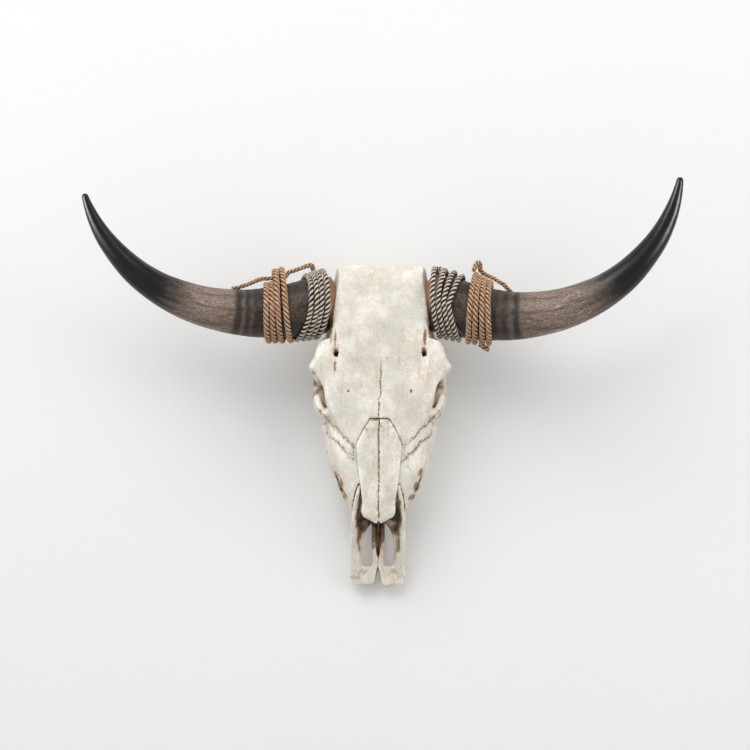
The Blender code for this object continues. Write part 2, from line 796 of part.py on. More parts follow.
def build_wrap(name, wrap, collection):
    """The rope's turns round the horn, with both ends at its back. Its straight pieces lie on the horn."""
    turn = np.linspace(0, wrap.turns, round(wrap.turns * WRAP_STEPS) + 1)
    places, angles, radii = wrap.line(turn)
    points = HORNS[wrap.horn].around(places, angles, radii / math.cos(math.pi / WRAP_STEPS))
    return curve_solid(name, points, [wrap.rope / 2] * len(points), ROPE_RESOLUTION, collection)


def build_tail(name, horn, route, collection):
    """A loose end of the rope along its route."""
    places, angles, distances, thickness = np.array(route).T
    points = HORNS[horn].around(places, angles, distances)
    return curve_solid(name, points, thickness * TAIL_ROPE / 2, ROPE_RESOLUTION, collection)


def build_premaxilla(name, side, nasals, collection):
    """One half of the muzzle's tip, with its two processes, clear of the nasal bones."""

    def forms(bm):
        for form in PREMAXILLA:
            add_form(bm, form, side)

    bone = add_object(name, mesh_from(name, forms), collection)
    fuse(bone, FINE_VOXEL, 2)
    thin_out(bone, PREMAXILLA_TRIANGLES)
    make_room(bone, nasals)
    keep_main_body(bone)
    return bone


def build_whole(cutters, set_in):
    """The skull's main mass as one solid, with sockets for the pieces that are set into it."""

    def rims_and_teeth(bm):
        add_forms(bm, (), THIN_FORMS)
        for side in SIDES.values():
            add_teeth(bm, side)

    masses = mesh_from("whole", lambda bm: add_forms(bm, MIDLINE_FORMS, SIDE_FORMS))
    whole = fuse(add_object("whole", masses, cutters), VOXEL, 3)
    hollows = cutter("hollows", cutters, lambda bm: add_forms(bm, MIDLINE_HOLLOWS, SIDE_HOLLOWS))
    combine(whole, fuse(hollows, FINE_VOXEL, 2), "DIFFERENCE")
    combine(whole, fuse(cutter("rims", cutters, rims_and_teeth), FINE_VOXEL), "UNION")
    fuse(whole, FINE_VOXEL, 2)
    for piece in set_in:
        make_room(whole, piece, SOCKET_GAP)
    thin_out(whole, BONE_TRIANGLES)
    for piece in set_in:
        make_room(whole, piece)
    combine(whole, cutter("floor", cutters, add_floor), "DIFFERENCE")
    return whole


def lean(obj):
    """Leans the muzzle over to the left, as on this skull."""
    shear = Matrix.Identity(4)
    shear[0][1] = LEAN / SKULL_LENGTH
    shear[0][3] = -LEAN * LEAN_FROM / SKULL_LENGTH
    obj.data.transform(shear)


def build_bones(bones, cutters):
    """The bones of the skull, parted along their sutures."""
    nasals = cutter("nasals", cutters, lambda bm: add_form(bm, NASAL_BONES))
    set_in = [nasals]
    for name, side in SIDES.items():
        set_in.append(build_premaxilla("premaxilla_" + name, side, nasals, bones))
        set_in.append(as_cutter(build_horn(f"horn_{name}_space", HORNS[name], cutters)))
    rest = build_whole(cutters, set_in)
    for name, side in SIDES.items():
        half = cutter("half_" + name, cutters, lambda bm: add_form(bm, HALF, side))
        part_off("nasal_" + name, nasals, half, bones)
        for bone, form in SIDE_BONES.items():
            space = cutter(f"{bone}_{name}_space", cutters, lambda bm: add_form(bm, form, side))
            part_off(f"{bone}_{name}", rest, space, bones)
    roof = cutter("frontal_space", cutters, lambda bm: add_form(bm, FRONTAL))
    combine(roof, cutter("cores", cutters, lambda bm: add_forms(bm, (), (HORN_CORE_SPACE,))), "UNION")
    part_off("frontal", rest, roof, bones)
    back = cutter("occipital_space", cutters, lambda bm: add_form(bm, OCCIPITAL))
    part_off("occipital", rest, back, bones)
    keep_main_body(rest)
    rest.name = "braincase"
    cutters.objects.unlink(rest)
    bones.objects.link(rest)
    for bone in bones.objects:
        lean(bone)
        paint(bone, MUZZLE_BONE if bone.name.startswith("premaxilla") else BONE)


def build_horns_and_ropes(parts):
    """The horn sheaths and what is wound round them."""
    for name, horn in HORNS.items():
        paint(build_horn("horn_" + name, horn, parts), HORN_SHEATH)
    for name, wrap in WRAPS.items():
        paint(build_wrap(name, wrap, parts), ACCENT_CORD if name.startswith("accent") else JUTE)
    for name, (horn, route) in TAILS.items():
        paint(build_tail(name, horn, route, parts), JUTE)


def lay_down(parts):
    """Tips the whole skull onto its teeth and its paracondylar processes, over the origin."""
    rest = bpy.data.objects.new("rest", None)
    rest.location = (-CENTRE_X, -CENTRE_Y, REST_HEIGHT)
    rest.rotation_euler = (REST_PITCH, 0, 0)
    for obj in parts.objects:
        obj.parent = rest
    parts.objects.link(rest)


def main():
    clear_scene()
    parts = new_collection("Longhorn steer skull")
    cutters = new_collection("Cutters")
    build_bones(parts, cutters)
    build_horns_and_ropes(parts)
    lay_down(parts)


main()
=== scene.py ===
"""A longhorn steer skull with roped horns, dressed for a studio picture.

Lengths are in metres, and in millimetres in the tables of the skull's forms and stains. The bones,
horns and ropes are shaped in the face frame: X to the right as the face is looked at, Y from the tip
of the muzzle to the poll, Z out of the forehead. The skull's bones are level sets of one solid, made
of named forms that run into each other, and each bone is the part of it that lies in its own space,
so that neighbours meet along their sutures.
"""

import logging
import math
from collections.abc import Callable, Iterable
from dataclasses import dataclass, field
from enum import Enum

import bpy
import numpy as np
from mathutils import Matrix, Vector


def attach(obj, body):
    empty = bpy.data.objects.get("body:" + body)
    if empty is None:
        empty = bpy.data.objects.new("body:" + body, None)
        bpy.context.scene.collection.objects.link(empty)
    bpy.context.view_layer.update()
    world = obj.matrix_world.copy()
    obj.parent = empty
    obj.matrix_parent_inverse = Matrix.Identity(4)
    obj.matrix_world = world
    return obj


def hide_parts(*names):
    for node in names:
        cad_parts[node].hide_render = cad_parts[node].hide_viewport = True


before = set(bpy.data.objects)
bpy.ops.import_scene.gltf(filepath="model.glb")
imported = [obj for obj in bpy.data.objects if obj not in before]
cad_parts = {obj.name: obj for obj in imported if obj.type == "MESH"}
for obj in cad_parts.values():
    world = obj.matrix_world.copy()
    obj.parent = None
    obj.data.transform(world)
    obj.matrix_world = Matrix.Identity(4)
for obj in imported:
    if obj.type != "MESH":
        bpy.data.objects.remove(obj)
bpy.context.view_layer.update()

log = logging.getLogger("skull")

FIBRE_SIDES = 3  # of a loose fibre's tube

MM_PER_METRE = 1000
TINY = 1e-12  # keeps a division off zero

# The skull's place
SKULL_LENGTH = 0.514  # tip of the muzzle to the poll
REST_PITCH = math.radians(7.5)  # how far the muzzle end dips when the skull rests
REST_HEIGHT = 0.1062  # of the face frame's origin over the floor
CENTRE_X = 0.00231
CENTRE_Y = 0.32109
LEAN = 0.005  # how far the muzzle's tip leans to the left of the poll's middle
LEAN_FROM = 0.455  # the height of the horns, from where it leans

FRAME_PIXELS = 750  # width and height of the picture
PIXEL = 0.0016  # what one pixel spans on the forehead

Array = np.ndarray
Material = bpy.types.Material
Piece = bpy.types.Object
Socket = bpy.types.NodeSocket
Tree = bpy.types.NodeTree
Colour = tuple[float, float, float, float]


class Side(Enum):
    """The viewer's left and right."""

    LEFT = -1
    RIGHT = 1

    @property
    def word(self) -> str:
        """The side's name in node names."""
        return self.name.lower()


def to_part(points: Array, leans: bool) -> Array:
    """Moves points from the face frame to where the skull lies.

    Args:
        points: one point per row.
        leans: whether they lean over with the muzzle, as the bones do and the horns don't.

    Returns:
        The points in the part's frame.
    """
    x, y, z = np.asarray(points, float).T
    if leans:
        x = x + LEAN * (y - LEAN_FROM) / SKULL_LENGTH
    cos, sin = math.cos(REST_PITCH), math.sin(REST_PITCH)
    return np.stack((x - CENTRE_X, y * cos - z * sin - CENTRE_Y, y * sin + z * cos + REST_HEIGHT), 1)


def eased(at: Array, knots: Array, values: Array) -> Array:
    """Reads a smooth curve through knots.

    Args:
        at: places to read, held to the knots' range.
        knots: places of the values, rising.
        values: one row per knot.

    Returns:
        One row per place.
    """
    at = np.clip(at, knots[0], knots[-1])
    slope = np.gradient(values, knots, axis=0)
    i = np.clip(np.searchsorted(knots, at) - 1, 0, len(knots) - 2)
    gap = (knots[i + 1] - knots[i])[:, None]
    t = (at - knots[i])[:, None] / gap
    return (
        values[i] * (1 + 2 * t) * (1 - t) ** 2
        + slope[i] * gap * t * (1 - t) ** 2
        + values[i + 1] * t * t * (3 - 2 * t)
        + slope[i + 1] * gap * t * t * (t - 1)
    )


def smooth_min(a: Array, b: Array, blend: float) -> Array:
    """The lower of a and b, rounded over a span of blend where they are close."""
    h = np.maximum(blend - np.abs(a - b), 0) / blend
    return np.minimum(a, b) - h * h * blend / 4


def smooth_max(a: Array, b: Array, blend: float) -> Array:
    """The higher of a and b, rounded over a span of blend where they are close."""
    return -smooth_min(-a, -b, blend)


def faded(value: Array, low: float, high: float) -> Array:
    """0 below low, 1 above high, and an even S-curve between; falls instead where low is over high."""
    t = np.clip((value - low) / (high - low), 0, 1)
    return t * t * (3 - 2 * t)


def value_noise(points: Array, size: float, seed: int) -> Array:
    """Soft random bumps in space.

    Args:
        points: one point per row.
        size: distance from bump to bump.
        seed: picks the pattern.

    Returns:
        A value from -1 to 1 for each point.
    """
    place = points / size + seed * 17.31
    cell = np.floor(place).astype(np.int64)
    part = place - cell
    part = part * part * (3 - 2 * part)
    total = np.zeros(len(points))
    for corner in np.ndindex(2, 2, 2):
        key = (cell + corner) @ np.array((73856093, 19349663, 83492791)) + seed * 1013
        key = (key ^ (key >> 13)) * 1274126177 & 0x7FFFFFFF
        key = (key ^ (key >> 15)) * 668265263 & 0x7FFFFFFF
        weight = np.prod(np.where(corner, part, 1 - part), axis=1)
        total += weight * (key / 0x3FFFFFFF - 1)
    return total


def layered_noise(points: Array, size: float, seed: int, layers: int = 3) -> Array:
    """Bumps with finer and weaker ones on them, about -1 to 1."""
    return sum(value_noise(points, size / 2**i, seed + i) / 2**i for i in range(layers)) / 1.6


class Form:
    """A rounded solid with an approximate distance to its skin, negative inside."""

    def reach(self) -> Array:
        """Its lowest and highest corner."""
        raise NotImplementedError

    def distance(self, x: Array, y: Array, z: Array) -> Array:
        """Distance at the grid of x, y and z."""
        raise NotImplementedError


@dataclass(frozen=True)
class Loft(Form):
    """A body with superellipse sections across Y: each station is (x, y, z, half width, half height)."""

    stations: tuple
    squareness: float = 2.4
    end_blend: float = 0.004

    def reach(self) -> Array:
        """Its lowest and highest corner."""
        x, y, z, half_width, half_height = np.array(self.stations, float).T
        low = (x - half_width).min(), y.min(), (z - half_height).min()
        return np.array((low, ((x + half_width).max(), y.max(), (z + half_height).max())))

    def distance(self, x: Array, y: Array, z: Array) -> Array:
        """Distance along the line from the middle of the section, and to the nearer end."""
        stations = np.array(self.stations, float)
        rows = eased(y.ravel(), stations[:, 1], stations[:, [0, 2, 3, 4]])
        middle_x, middle_z, half_width, half_height = (row.reshape(1, -1, 1) for row in rows.T)
        across, up = np.abs(x - middle_x), np.abs(z - middle_z)
        n = self.squareness
        share = ((across / half_width) ** n + (up / half_height) ** n) ** (1 / n)
        away = np.maximum(np.hypot(across, up), 1e-5)
        wall = away * (1 - 1 / np.maximum(share, 1e-3))
        middle = (stations[0, 1] + stations[-1, 1]) / 2
        ends = np.abs(y - middle) - (stations[-1, 1] - middle)
        return smooth_max(wall, ends + 0 * wall, self.end_blend)


@dataclass(frozen=True)
class Limb(Form):
    """A rounded bar through points, each (x, y, z, radius)."""

    points: tuple

    def reach(self) -> Array:
        """Its lowest and highest corner."""
        points = np.array(self.points, float)
        centres, radii = points[:, :3], points[:, 3:]
        return np.array(((centres - radii).min(0), (centres + radii).max(0)))

    def distance(self, x: Array, y: Array, z: Array) -> Array:
        """Distance to the nearest of its cones."""
        nearest = None
        for (ax, ay, az, start_radius), (bx, by, bz, end_radius) in zip(self.points, self.points[1:]):
            run = np.array((bx - ax, by - ay, bz - az))
            along = ((x - ax) * run[0] + (y - ay) * run[1] + (z - az) * run[2]) / (run @ run)
            t = np.clip(along, 0, 1)
            apart = (x - ax - t * run[0]) ** 2 + (y - ay - t * run[1]) ** 2 + (z - az - t * run[2]) ** 2
            wall = np.sqrt(apart) - (start_radius + t * (end_radius - start_radius))
            nearest = wall if nearest is None else np.minimum(nearest, wall)
        return nearest


@dataclass(frozen=True)
class Ball(Form):
    """An ellipsoid, given by its centre and its three radii."""

    centre: tuple
    radii: tuple

    def reach(self) -> Array:
        """Its lowest and highest corner."""
        centre, radii = np.array(self.centre), np.array(self.radii)
        return np.array((centre - radii, centre + radii))

    def distance(self, x: Array, y: Array, z: Array) -> Array:
        """Distance by the usual estimate for an ellipsoid."""
        parts = [(at - middle) / radius for at, middle, radius in zip((x, y, z), self.centre, self.radii)]
        near = np.sqrt(sum(part**2 for part in parts))
        slope = np.sqrt(sum((part / radius) ** 2 for part, radius in zip(parts, self.radii)))
        return near * (near - 1) / np.maximum(slope, 1e-6)


@dataclass(frozen=True)
class Rod(Form):
    """A cylinder between two points."""

    start: tuple
    end: tuple
    radius: float

    def reach(self) -> Array:
        """A box round it, a little too large."""
        ends = np.array((self.start, self.end))
        return np.array((ends.min(0) - self.radius, ends.max(0) + self.radius))

    def distance(self, x: Array, y: Array, z: Array) -> Array:
        """Distance to its side or its nearer end."""
        start, run = np.array(self.start), np.array(self.end) - np.array(self.start)
        length = math.sqrt(run @ run)
        x, y, z = x - start[0], y - start[1], z - start[2]
        along = (x * run[0] + y * run[1] + z * run[2]) / length
        side = np.sqrt(np.maximum(x**2 + y**2 + z**2 - along**2, 0)) - self.radius
        return np.maximum(side, np.abs(along - length / 2) - length / 2)


class Grid:
    """A block of space in even steps, with a distance to the solid at each point of it."""

    EMPTY = 0.05  # the distance where nothing is near

    def __init__(self, low: Iterable[float], high: Iterable[float], step: float) -> None:
        """Makes an empty block.

        Args:
            low: its lowest corner.
            high: its highest corner, at least.
            step: distance between its points.
        """
        self.low = np.array(tuple(low), float)
        self.step = step
        count = np.ceil((np.array(tuple(high)) - self.low) / step).astype(int) + 1
        self.values = np.full(count, self.EMPTY, np.float32)

    def window(self, low: Array, high: Array) -> tuple[slice, slice, slice]:
        """The part of the block between two corners, as slices."""
        first = np.clip(np.floor((low - self.low) / self.step).astype(int), 0, None)
        last = np.minimum(np.ceil((high - self.low) / self.step).astype(int) + 1, self.values.shape)
        return tuple(slice(a, max(a, b)) for a, b in zip(first, last))

    def axes(self, part: tuple[slice, slice, slice]) -> list[Array]:
        """X, Y and Z of a part, shaped so that they spread over it."""
        made = []
        for axis, cut in enumerate(part):
            line = self.low[axis] + self.step * np.arange(cut.start, cut.stop, dtype=np.float32)
            made.append(line.reshape([-1 if i == axis else 1 for i in range(3)]))
        return made

    def everywhere(self) -> list[Array]:
        """X, Y and Z of the whole block."""
        return self.axes(tuple(slice(0, count) for count in self.values.shape))

    def apply(self, form: Form, mix: Callable, side: Side = Side.RIGHT, margin: float = 0.012) -> None:
        """Mixes a form into the block.

        Args:
            form: given for the right, and mirrored for the left.
            mix: takes the values there and the form's distances, and returns the new values.
            side: where the form goes.
            margin: how far round the form the values change.
        """
        low, high = form.reach()
        if side is Side.LEFT:
            low, high = np.array((-high[0], *low[1:])), np.array((-low[0], *high[1:]))
        part = self.window(low - margin, high + margin)
        x, y, z = self.axes(part)
        if self.values[part].size:
            self.values[part] = mix(self.values[part], form.distance(side.value * x, y, z))

    def add(self, form: Form, blend: float, side: Side = Side.RIGHT) -> None:
        """Adds a form, and runs it into what is there over a span of blend."""
        self.apply(form, lambda here, new: smooth_min(here, new, blend), side)

    def take(self, form: Form, blend: float, side: Side = Side.RIGHT) -> None:
        """Cuts a form out, and rounds the edge over a span of blend."""
        self.apply(form, lambda here, new: smooth_max(here, -new, blend), side)

    def read(self, points: Array) -> Array:
        """The distance at each of the points, one per row."""
        place = (points - self.low) / self.step
        place = np.clip(place, 0, np.array(self.values.shape) - 1.001)
        cell = place.astype(int)
        part = place - cell
        total = np.zeros(len(points))
        for corner in np.ndindex(2, 2, 2):
            i, j, k = (cell + corner).T
            total += self.values[i, j, k] * np.prod(np.where(corner, part, 1 - part), axis=1)
        return total


def skin_of(values: Array, low: Array, step: float) -> tuple[Array, Array]:
    """Covers the level zero of a block of distances with four-sided faces.

    Each cell that the level crosses gets a point at the mean of its crossings, and each edge that it
    crosses gets a face over its four cells.

    Args:
        values: the distances, over zero all round the block.
        low: the block's lowest corner.
        step: distance between its points.

    Returns:
        The points, and the faces as rows of four indices.
    """
    inside = values < 0
    near = np.zeros(np.array(values.shape) - 1, np.int8)
    corners = list(np.ndindex(2, 2, 2))
    for a, b, c in corners:
        near += inside[a : a + near.shape[0], b : b + near.shape[1], c : c + near.shape[2]]
    cells = np.argwhere((near > 0) & (near < 8))
    number = np.full(near.shape, -1, np.int32)
    number[tuple(cells.T)] = np.arange(len(cells))
    at = {corner: values[tuple((cells + corner).T)].astype(float) for corner in corners}
    total, count = np.zeros((len(cells), 3)), np.zeros(len(cells))
    for corner in corners:
        for axis in range(3):
            if corner[axis]:
                continue
            other = tuple(c + (i == axis) for i, c in enumerate(corner))
            a, b = at[corner], at[other]
            crossed = (a < 0) != (b < 0)
            share = np.where(crossed, a / np.where(crossed, a - b, 1), 0)
            spot = np.array(corner, float) + share[:, None] * np.eye(3)[axis]
            total += spot * crossed[:, None]
            count += crossed
    points = low + step * (cells + total / count[:, None])
    faces = []
    for axis in range(3):
        ahead = [slice(None)] * 3
        behind = [slice(None)] * 3
        ahead[axis], behind[axis] = slice(1, None), slice(None, -1)
        edges = np.argwhere(inside[tuple(ahead)] != inside[tuple(behind)])
        starts_inside = inside[tuple(edges.T)]
        u, v = np.eye(3, dtype=int)[(axis + 1) % 3], np.eye(3, dtype=int)[(axis + 2) % 3]
        ring = [number[tuple((edges - offset).T)] for offset in (u + v, v, 0 * u, u)]
        quad = np.stack(ring, 1)
        quad[~starts_inside] = quad[~starts_inside, ::-1]
        faces.append(quad)
    return points, np.vstack(faces)


@dataclass
class Skin:
    """Points and faces of one mesh, with values on its points for the finish to read."""

    points: Array
    faces: Array
    marks: dict[str, Array] = field(default_factory=dict)
    slots: Array | None = None  # which material each face has

    def joined(self, other: "Skin") -> "Skin":
        """This mesh and another with the same marks as one."""
        marks = {name: np.concatenate((mark, other.marks[name])) for name, mark in self.marks.items()}
        slots = None if self.slots is None else np.concatenate((self.slots, other.slots))
        points = np.vstack((self.points, other.points))
        faces = np.vstack((self.faces, other.faces + len(self.points)))
        return Skin(points, faces, marks, slots)

    def normals(self) -> Array:
        """The way out of the surface at each point."""
        corners = self.points[self.faces]
        flat = np.cross(corners[:, 2] - corners[:, 0], corners[:, 3] - corners[:, 1])
        total = np.zeros_like(self.points)
        for i, axis in np.ndindex(4, 3):
            total[:, axis] += np.bincount(self.faces[:, i], flat[:, axis], len(self.points))
        return unit(total)

    def build(self, name: str, materials: Iterable[Material], leans: bool) -> Piece:
        """Makes the Blender object where the skull lies.

        Args:
            name: the piece's name.
            materials: its material slots.
            leans: whether it leans with the muzzle.

        Returns:
            The object, in the scene.
        """
        mesh = bpy.data.meshes.new(name)
        mesh.vertices.add(len(self.points))
        mesh.vertices.foreach_set("co", to_part(self.points, leans).astype(np.float32).ravel())
        triangles = self.faces[:, 2] == self.faces[:, 3]
        sizes = np.where(triangles, 3, 4)
        corners = self.faces[np.arange(4)[None, :] < sizes[:, None]]
        mesh.loops.add(len(corners))
        mesh.loops.foreach_set("vertex_index", corners.astype(np.int32))
        mesh.polygons.add(len(self.faces))
        starts = np.concatenate(((0,), np.cumsum(sizes)[:-1]))
        mesh.polygons.foreach_set("loop_start", starts.astype(np.int32))
        mesh.update(calc_edges=True)
        mesh.validate()
        mesh.shade_smooth()
        for material in materials:
            mesh.materials.append(material)
        if self.slots is not None:
            mesh.polygons.foreach_set("material_index", self.slots.astype(np.int32))
        for mark, values in self.marks.items():
            kind, key = ("FLOAT", "value") if values.ndim == 1 else ("FLOAT_VECTOR", "vector")
            layer = mesh.attributes.new(mark, kind, "POINT")
            layer.data.foreach_set(key, values.astype(np.float32).ravel())
        return placed(name, mesh)


@dataclass(frozen=True)
class ToothForm(Form):
    """A cheek tooth: a rounded block with two lobes on its outer wall and furrows in its worn face."""

    middle: tuple
    half: tuple  # across and along the row
    root: float
    floor: float
    groove: float
    corner: float = 0.003
    furrow: float = 0.0011

    def reach(self) -> Array:
        """Its lowest and highest corner."""
        (x, y), (width, length) = self.middle, self.half
        return np.array(((x - width, y - length, self.floor - 0.006), (x + width, y + length, self.root)))

    def distance(self, x: Array, y: Array, z: Array) -> Array:
        """Distance to its folded wall, its root end and its worn face."""
        (mx, my), (width, length) = self.middle, self.half
        lobes = self.groove * (1 - np.cos(2 * math.pi * (y - my) / length)) / 2
        fold = lobes * np.sign(x - mx) * (1 if width > 0.0095 else 0.4)
        across = np.abs(x - mx) - width + self.corner + 0.0012 - np.abs(fold)
        along = np.abs(y - my) - length + self.corner + 0.0004
        outside = np.hypot(np.maximum(across, 0), np.maximum(along, 0))
        wall = outside + np.minimum(np.maximum(across, along), 0) - self.corner
        lakes = np.cos(4 * math.pi * (x - mx) / (2 * width)) * np.cos(2 * math.pi * (y - my) / length)
        worn = self.floor - z - self.furrow * np.minimum(lakes, 0.2)
        return np.maximum(np.maximum(wall, worn), z - self.root)


def metres(*rows: tuple) -> tuple:
    """Rows of lengths in millimetres, as metres."""
    return tuple(tuple(part / MM_PER_METRE for part in row) for row in rows)


def loft(*stations: tuple, squareness: float = 2.4) -> Loft:
    """A Loft with its stations in millimetres."""
    return Loft(metres(*stations), squareness)


def limb(*points: tuple) -> Limb:
    """A Limb with its points in millimetres."""
    return Limb(metres(*points))


def ball(centre: tuple, radii: tuple) -> Ball:
    """A Ball with its centre and its radii in millimetres."""
    return Ball(*metres(centre, radii))


# The masses on the midline, all tables of forms in millimetres
FRONTAL_ROOF = loft(
    (0, 226, -24, 46, 17), (0, 262, -25, 74, 22), (0, 298, -21, 88, 21), (0, 325, -17, 95, 18),
    (0, 340, -16, 106, 16), (0, 351, -15, 114, 15), (0, 368, -15, 107, 17), (0, 390, -16, 99, 19),
    (0, 404, -18, 86, 22), (0, 420, -21, 79, 26), (0, 460, -28, 80, 31), (0, 490, -30, 81, 31),
    (0, 505, -31, 79.5, 25), (0, 514, -32, 65, 14), squareness=3.4,
)
BRAINCASE = loft(
    (0, 290, -70, 44, 40), (0, 350, -72, 52, 56), (0, 400, -76, 57, 60), (0, 450, -80, 61, 60),
    (0, 482, -80, 67, 56), (0, 498, -80, 60, 44),
)
FACE = loft(
    (0, 100, -68, 43, 26), (0, 122, -62, 47, 36), (0, 142, -59, 56, 42), (0, 170, -58, 67, 47),
    (0, 200, -57, 80, 49), (0, 236, -57, 86, 51), (0, 272, -58, 84, 53), (0, 306, -60, 72, 52),
    (0, 336, -66, 54, 46),
)
OCCIPUT = ball((0, 486, -88), (75, 18, 58))
BASE_OF_SKULL = loft((0, 352, -122, 20, 13), (0, 430, -131, 20, 13), (0, 486, -132, 26, 14))
MIDLINE_FORMS = (FRONTAL_ROOF, BRAINCASE, FACE, OCCIPUT, BASE_OF_SKULL)

# The masses on each side, given for the right
TOOTH_SOCKETS = loft(
    (47, 138, -96, 11, 12), (52, 165, -98, 14, 17), (58, 220, -100, 16, 19), (60, 262, -102, 16, 20),
    (56, 296, -104, 14, 18), squareness=3,
)
FACIAL_TUBER = ball((71, 205, -66), (12, 24, 14))
MAXILLARY_TUBEROSITY = ball((48, 300, -102), (18, 24, 26))
OCCIPITAL_CONDYLE = ball((27, 500, -124), (16, 17, 21))
JAW_SOCKET = ball((69, 404, -93), (19, 14, 11))
EAR_BULLA = ball((36, 432, -136), (10, 18, 15))
MASTOID = limb((58, 440, -94, 18), (61, 468, -98, 14))
PTERYGOID = limb((22, 330, -112, 9), (25, 372, -126, 7))
PARACONDYLAR_PROCESS = limb((55, 468, -112, 14), (52, 464, -148, 10), (50, 462, -170, 8))
SIDE_FORMS = (
    TOOTH_SOCKETS, FACIAL_TUBER, MAXILLARY_TUBEROSITY, OCCIPITAL_CONDYLE, JAW_SOCKET, EAR_BULLA, MASTOID,
    PTERYGOID, PARACONDYLAR_PROCESS,
)

# Thin forms on each side, added after the hollows are cut
HORN_CORE = limb((50, 453, -47, 42), (90, 452.5, -45, 44.5))
ORBIT_RIM = limb(
    (106, 349, -18, 8), (102, 351, -44, 7), (99, 343, -68, 8), (99, 318, -78, 10), (97, 292, -70, 11),
    (90, 276, -48, 9), (86, 276, -26, 8),
)
ZYGOMATIC_ARCH = limb((99, 343, -70, 8), (95, 372, -74, 8), (86, 394, -82, 9), (70, 412, -93, 11))
THIN_FORMS = (HORN_CORE, ORBIT_RIM, ZYGOMATIC_ARCH)

# Hollows
FORAMEN_MAGNUM = limb((0, 440, -112, 14), (0, 530, -116, 18))
PALATE_ARCH = loft((0, 120, -120, 28, 18), (0, 220, -128, 40, 22), (0, 330, -132, 36, 22))
NASAL_CAVITY = loft(
    (0, 70, -46, 39, 38), (0, 108, -44, 38, 38), (0, 136, -44, 32, 33), (0, 170, -48, 28, 28),
    (0, 215, -50, 18, 18),
)
MIDLINE_HOLLOWS = (NASAL_CAVITY, PALATE_ARCH, FORAMEN_MAGNUM)
ORBIT = ball((97, 312, -42), (34, 30, 27))
PALATINE_FISSURE = loft((19, 20, -90, 7, 30), (18.5, 60, -90, 9.5, 30), (11, 103, -90, 2, 30))
SUPRAORBITAL_GROOVE = limb((73.5, 416, 4, 4), (71, 376, 3, 5), (72.5, 346, 5, 3))
CORD_SEAT = Rod(*metres((78.5, 454, -45), (148, 462, -36)), 0.07)
SIDE_HOLLOWS = (ORBIT, PALATINE_FISSURE, SUPRAORBITAL_GROOVE, CORD_SEAT)

# Bones that are set into the others
NASAL_BONES = loft(
    (0, 96, -21, 8, 2.5), (0, 108, -18, 22.5, 3.6), (0, 138, -13.5, 27, 4.5), (0, 170, -10, 31, 5.2),
    (0, 205, -7.8, 35.2, 5.6), (0, 222, -6.8, 37, 5.6), (0, 248, -5, 27.2, 5.2), (0, 268, -3.6, 16.2, 4.5),
    squareness=2.6,
)
PREMAXILLA_TIP = loft((24.2, -5, -86, 16.3, 4.7), (24.5, 10, -86, 19, 6.2), (23.5, 26, -86, 17, 6))
PREMAXILLA_NASAL_PROCESS = loft(
    (36, 8, -84, 9, 7), (36.5, 50, -74, 7.5, 11), (38.5, 85, -60, 5.5, 16), (37.5, 120, -40, 5, 15),
    (33, 148, -23, 4.5, 9), (30, 162, -16, 3, 5),
)
PREMAXILLA_SHELF = loft(
    (29, 16, -86, 9, 5), (33.5, 42, -85, 8, 5), (33.5, 64, -84, 8, 4.5), (30, 88, -83, 11.5, 4),
    (25, 104, -83, 14.5, 3.5),
)
PREMAXILLA_PALATINE_PROCESS = loft(
    (9.8, -3, -86, 4.5, 5), (7.6, 9, -86, 4.5, 5.5), (5.7, 23, -86, 4.6, 5.5), (7.2, 66, -86, 3.8, 5),
    (6.8, 110, -86, 3.5, 4.5),
)
PREMAXILLA = (PREMAXILLA_TIP, PREMAXILLA_NASAL_PROCESS, PREMAXILLA_SHELF, PREMAXILLA_PALATINE_PROCESS)

# Cheek teeth: three premolars and three molars, each (x, y, half width, half length)
CHEEK_TEETH = metres(
    (47, 156, 7.5, 8), (50, 174, 9, 9), (52.5, 193.5, 10, 9.5), (55.5, 216, 11.5, 12), (57.5, 243, 12, 14),
    (57, 272, 11, 14),
)
# Finer forms of each side, given for the right
TEMPORAL_LINE = limb((98, 356, -24, 6), (80, 392, -30, 5), (73, 420, -38, 5))
FACIAL_CREST = limb((69, 176, -68, 6), (77, 214, -66, 8), (86, 252, -62, 8))
NUCHAL_CREST = limb((6, 503, -50, 6), (40, 499, -56, 6), (66, 486, -74, 6))
ORBIT_KNOB = limb((100, 302, -30, 6), (94, 284, -28, 8))
MUSCLE_KNOB = ball((12, 420, -142), (7, 12, 6))
PALATE_EDGE = limb((36, 130, -94, 4), (40, 170, -98, 5))
CONDYLE_FACET = ball((26, 508, -126), (15, 10, 18))
PTERYGOID_PLATE = limb((21, 318, -106, 5), (24, 356, -122, 4), (26, 382, -136, 3))
PREMOLAR_RIDGE = limb((66, 178, -52, 5.5), (61, 160, -54, 6), (54, 142, -56, 5.5))
POLL_CORNER = ball((67, 500, -36), (9.8, 11, 18))
FINE_FORMS = (
    PREMOLAR_RIDGE, POLL_CORNER, TEMPORAL_LINE, FACIAL_CREST, NUCHAL_CREST, ORBIT_KNOB, MUSCLE_KNOB,
    PALATE_EDGE, CONDYLE_FACET, PTERYGOID_PLATE,
)
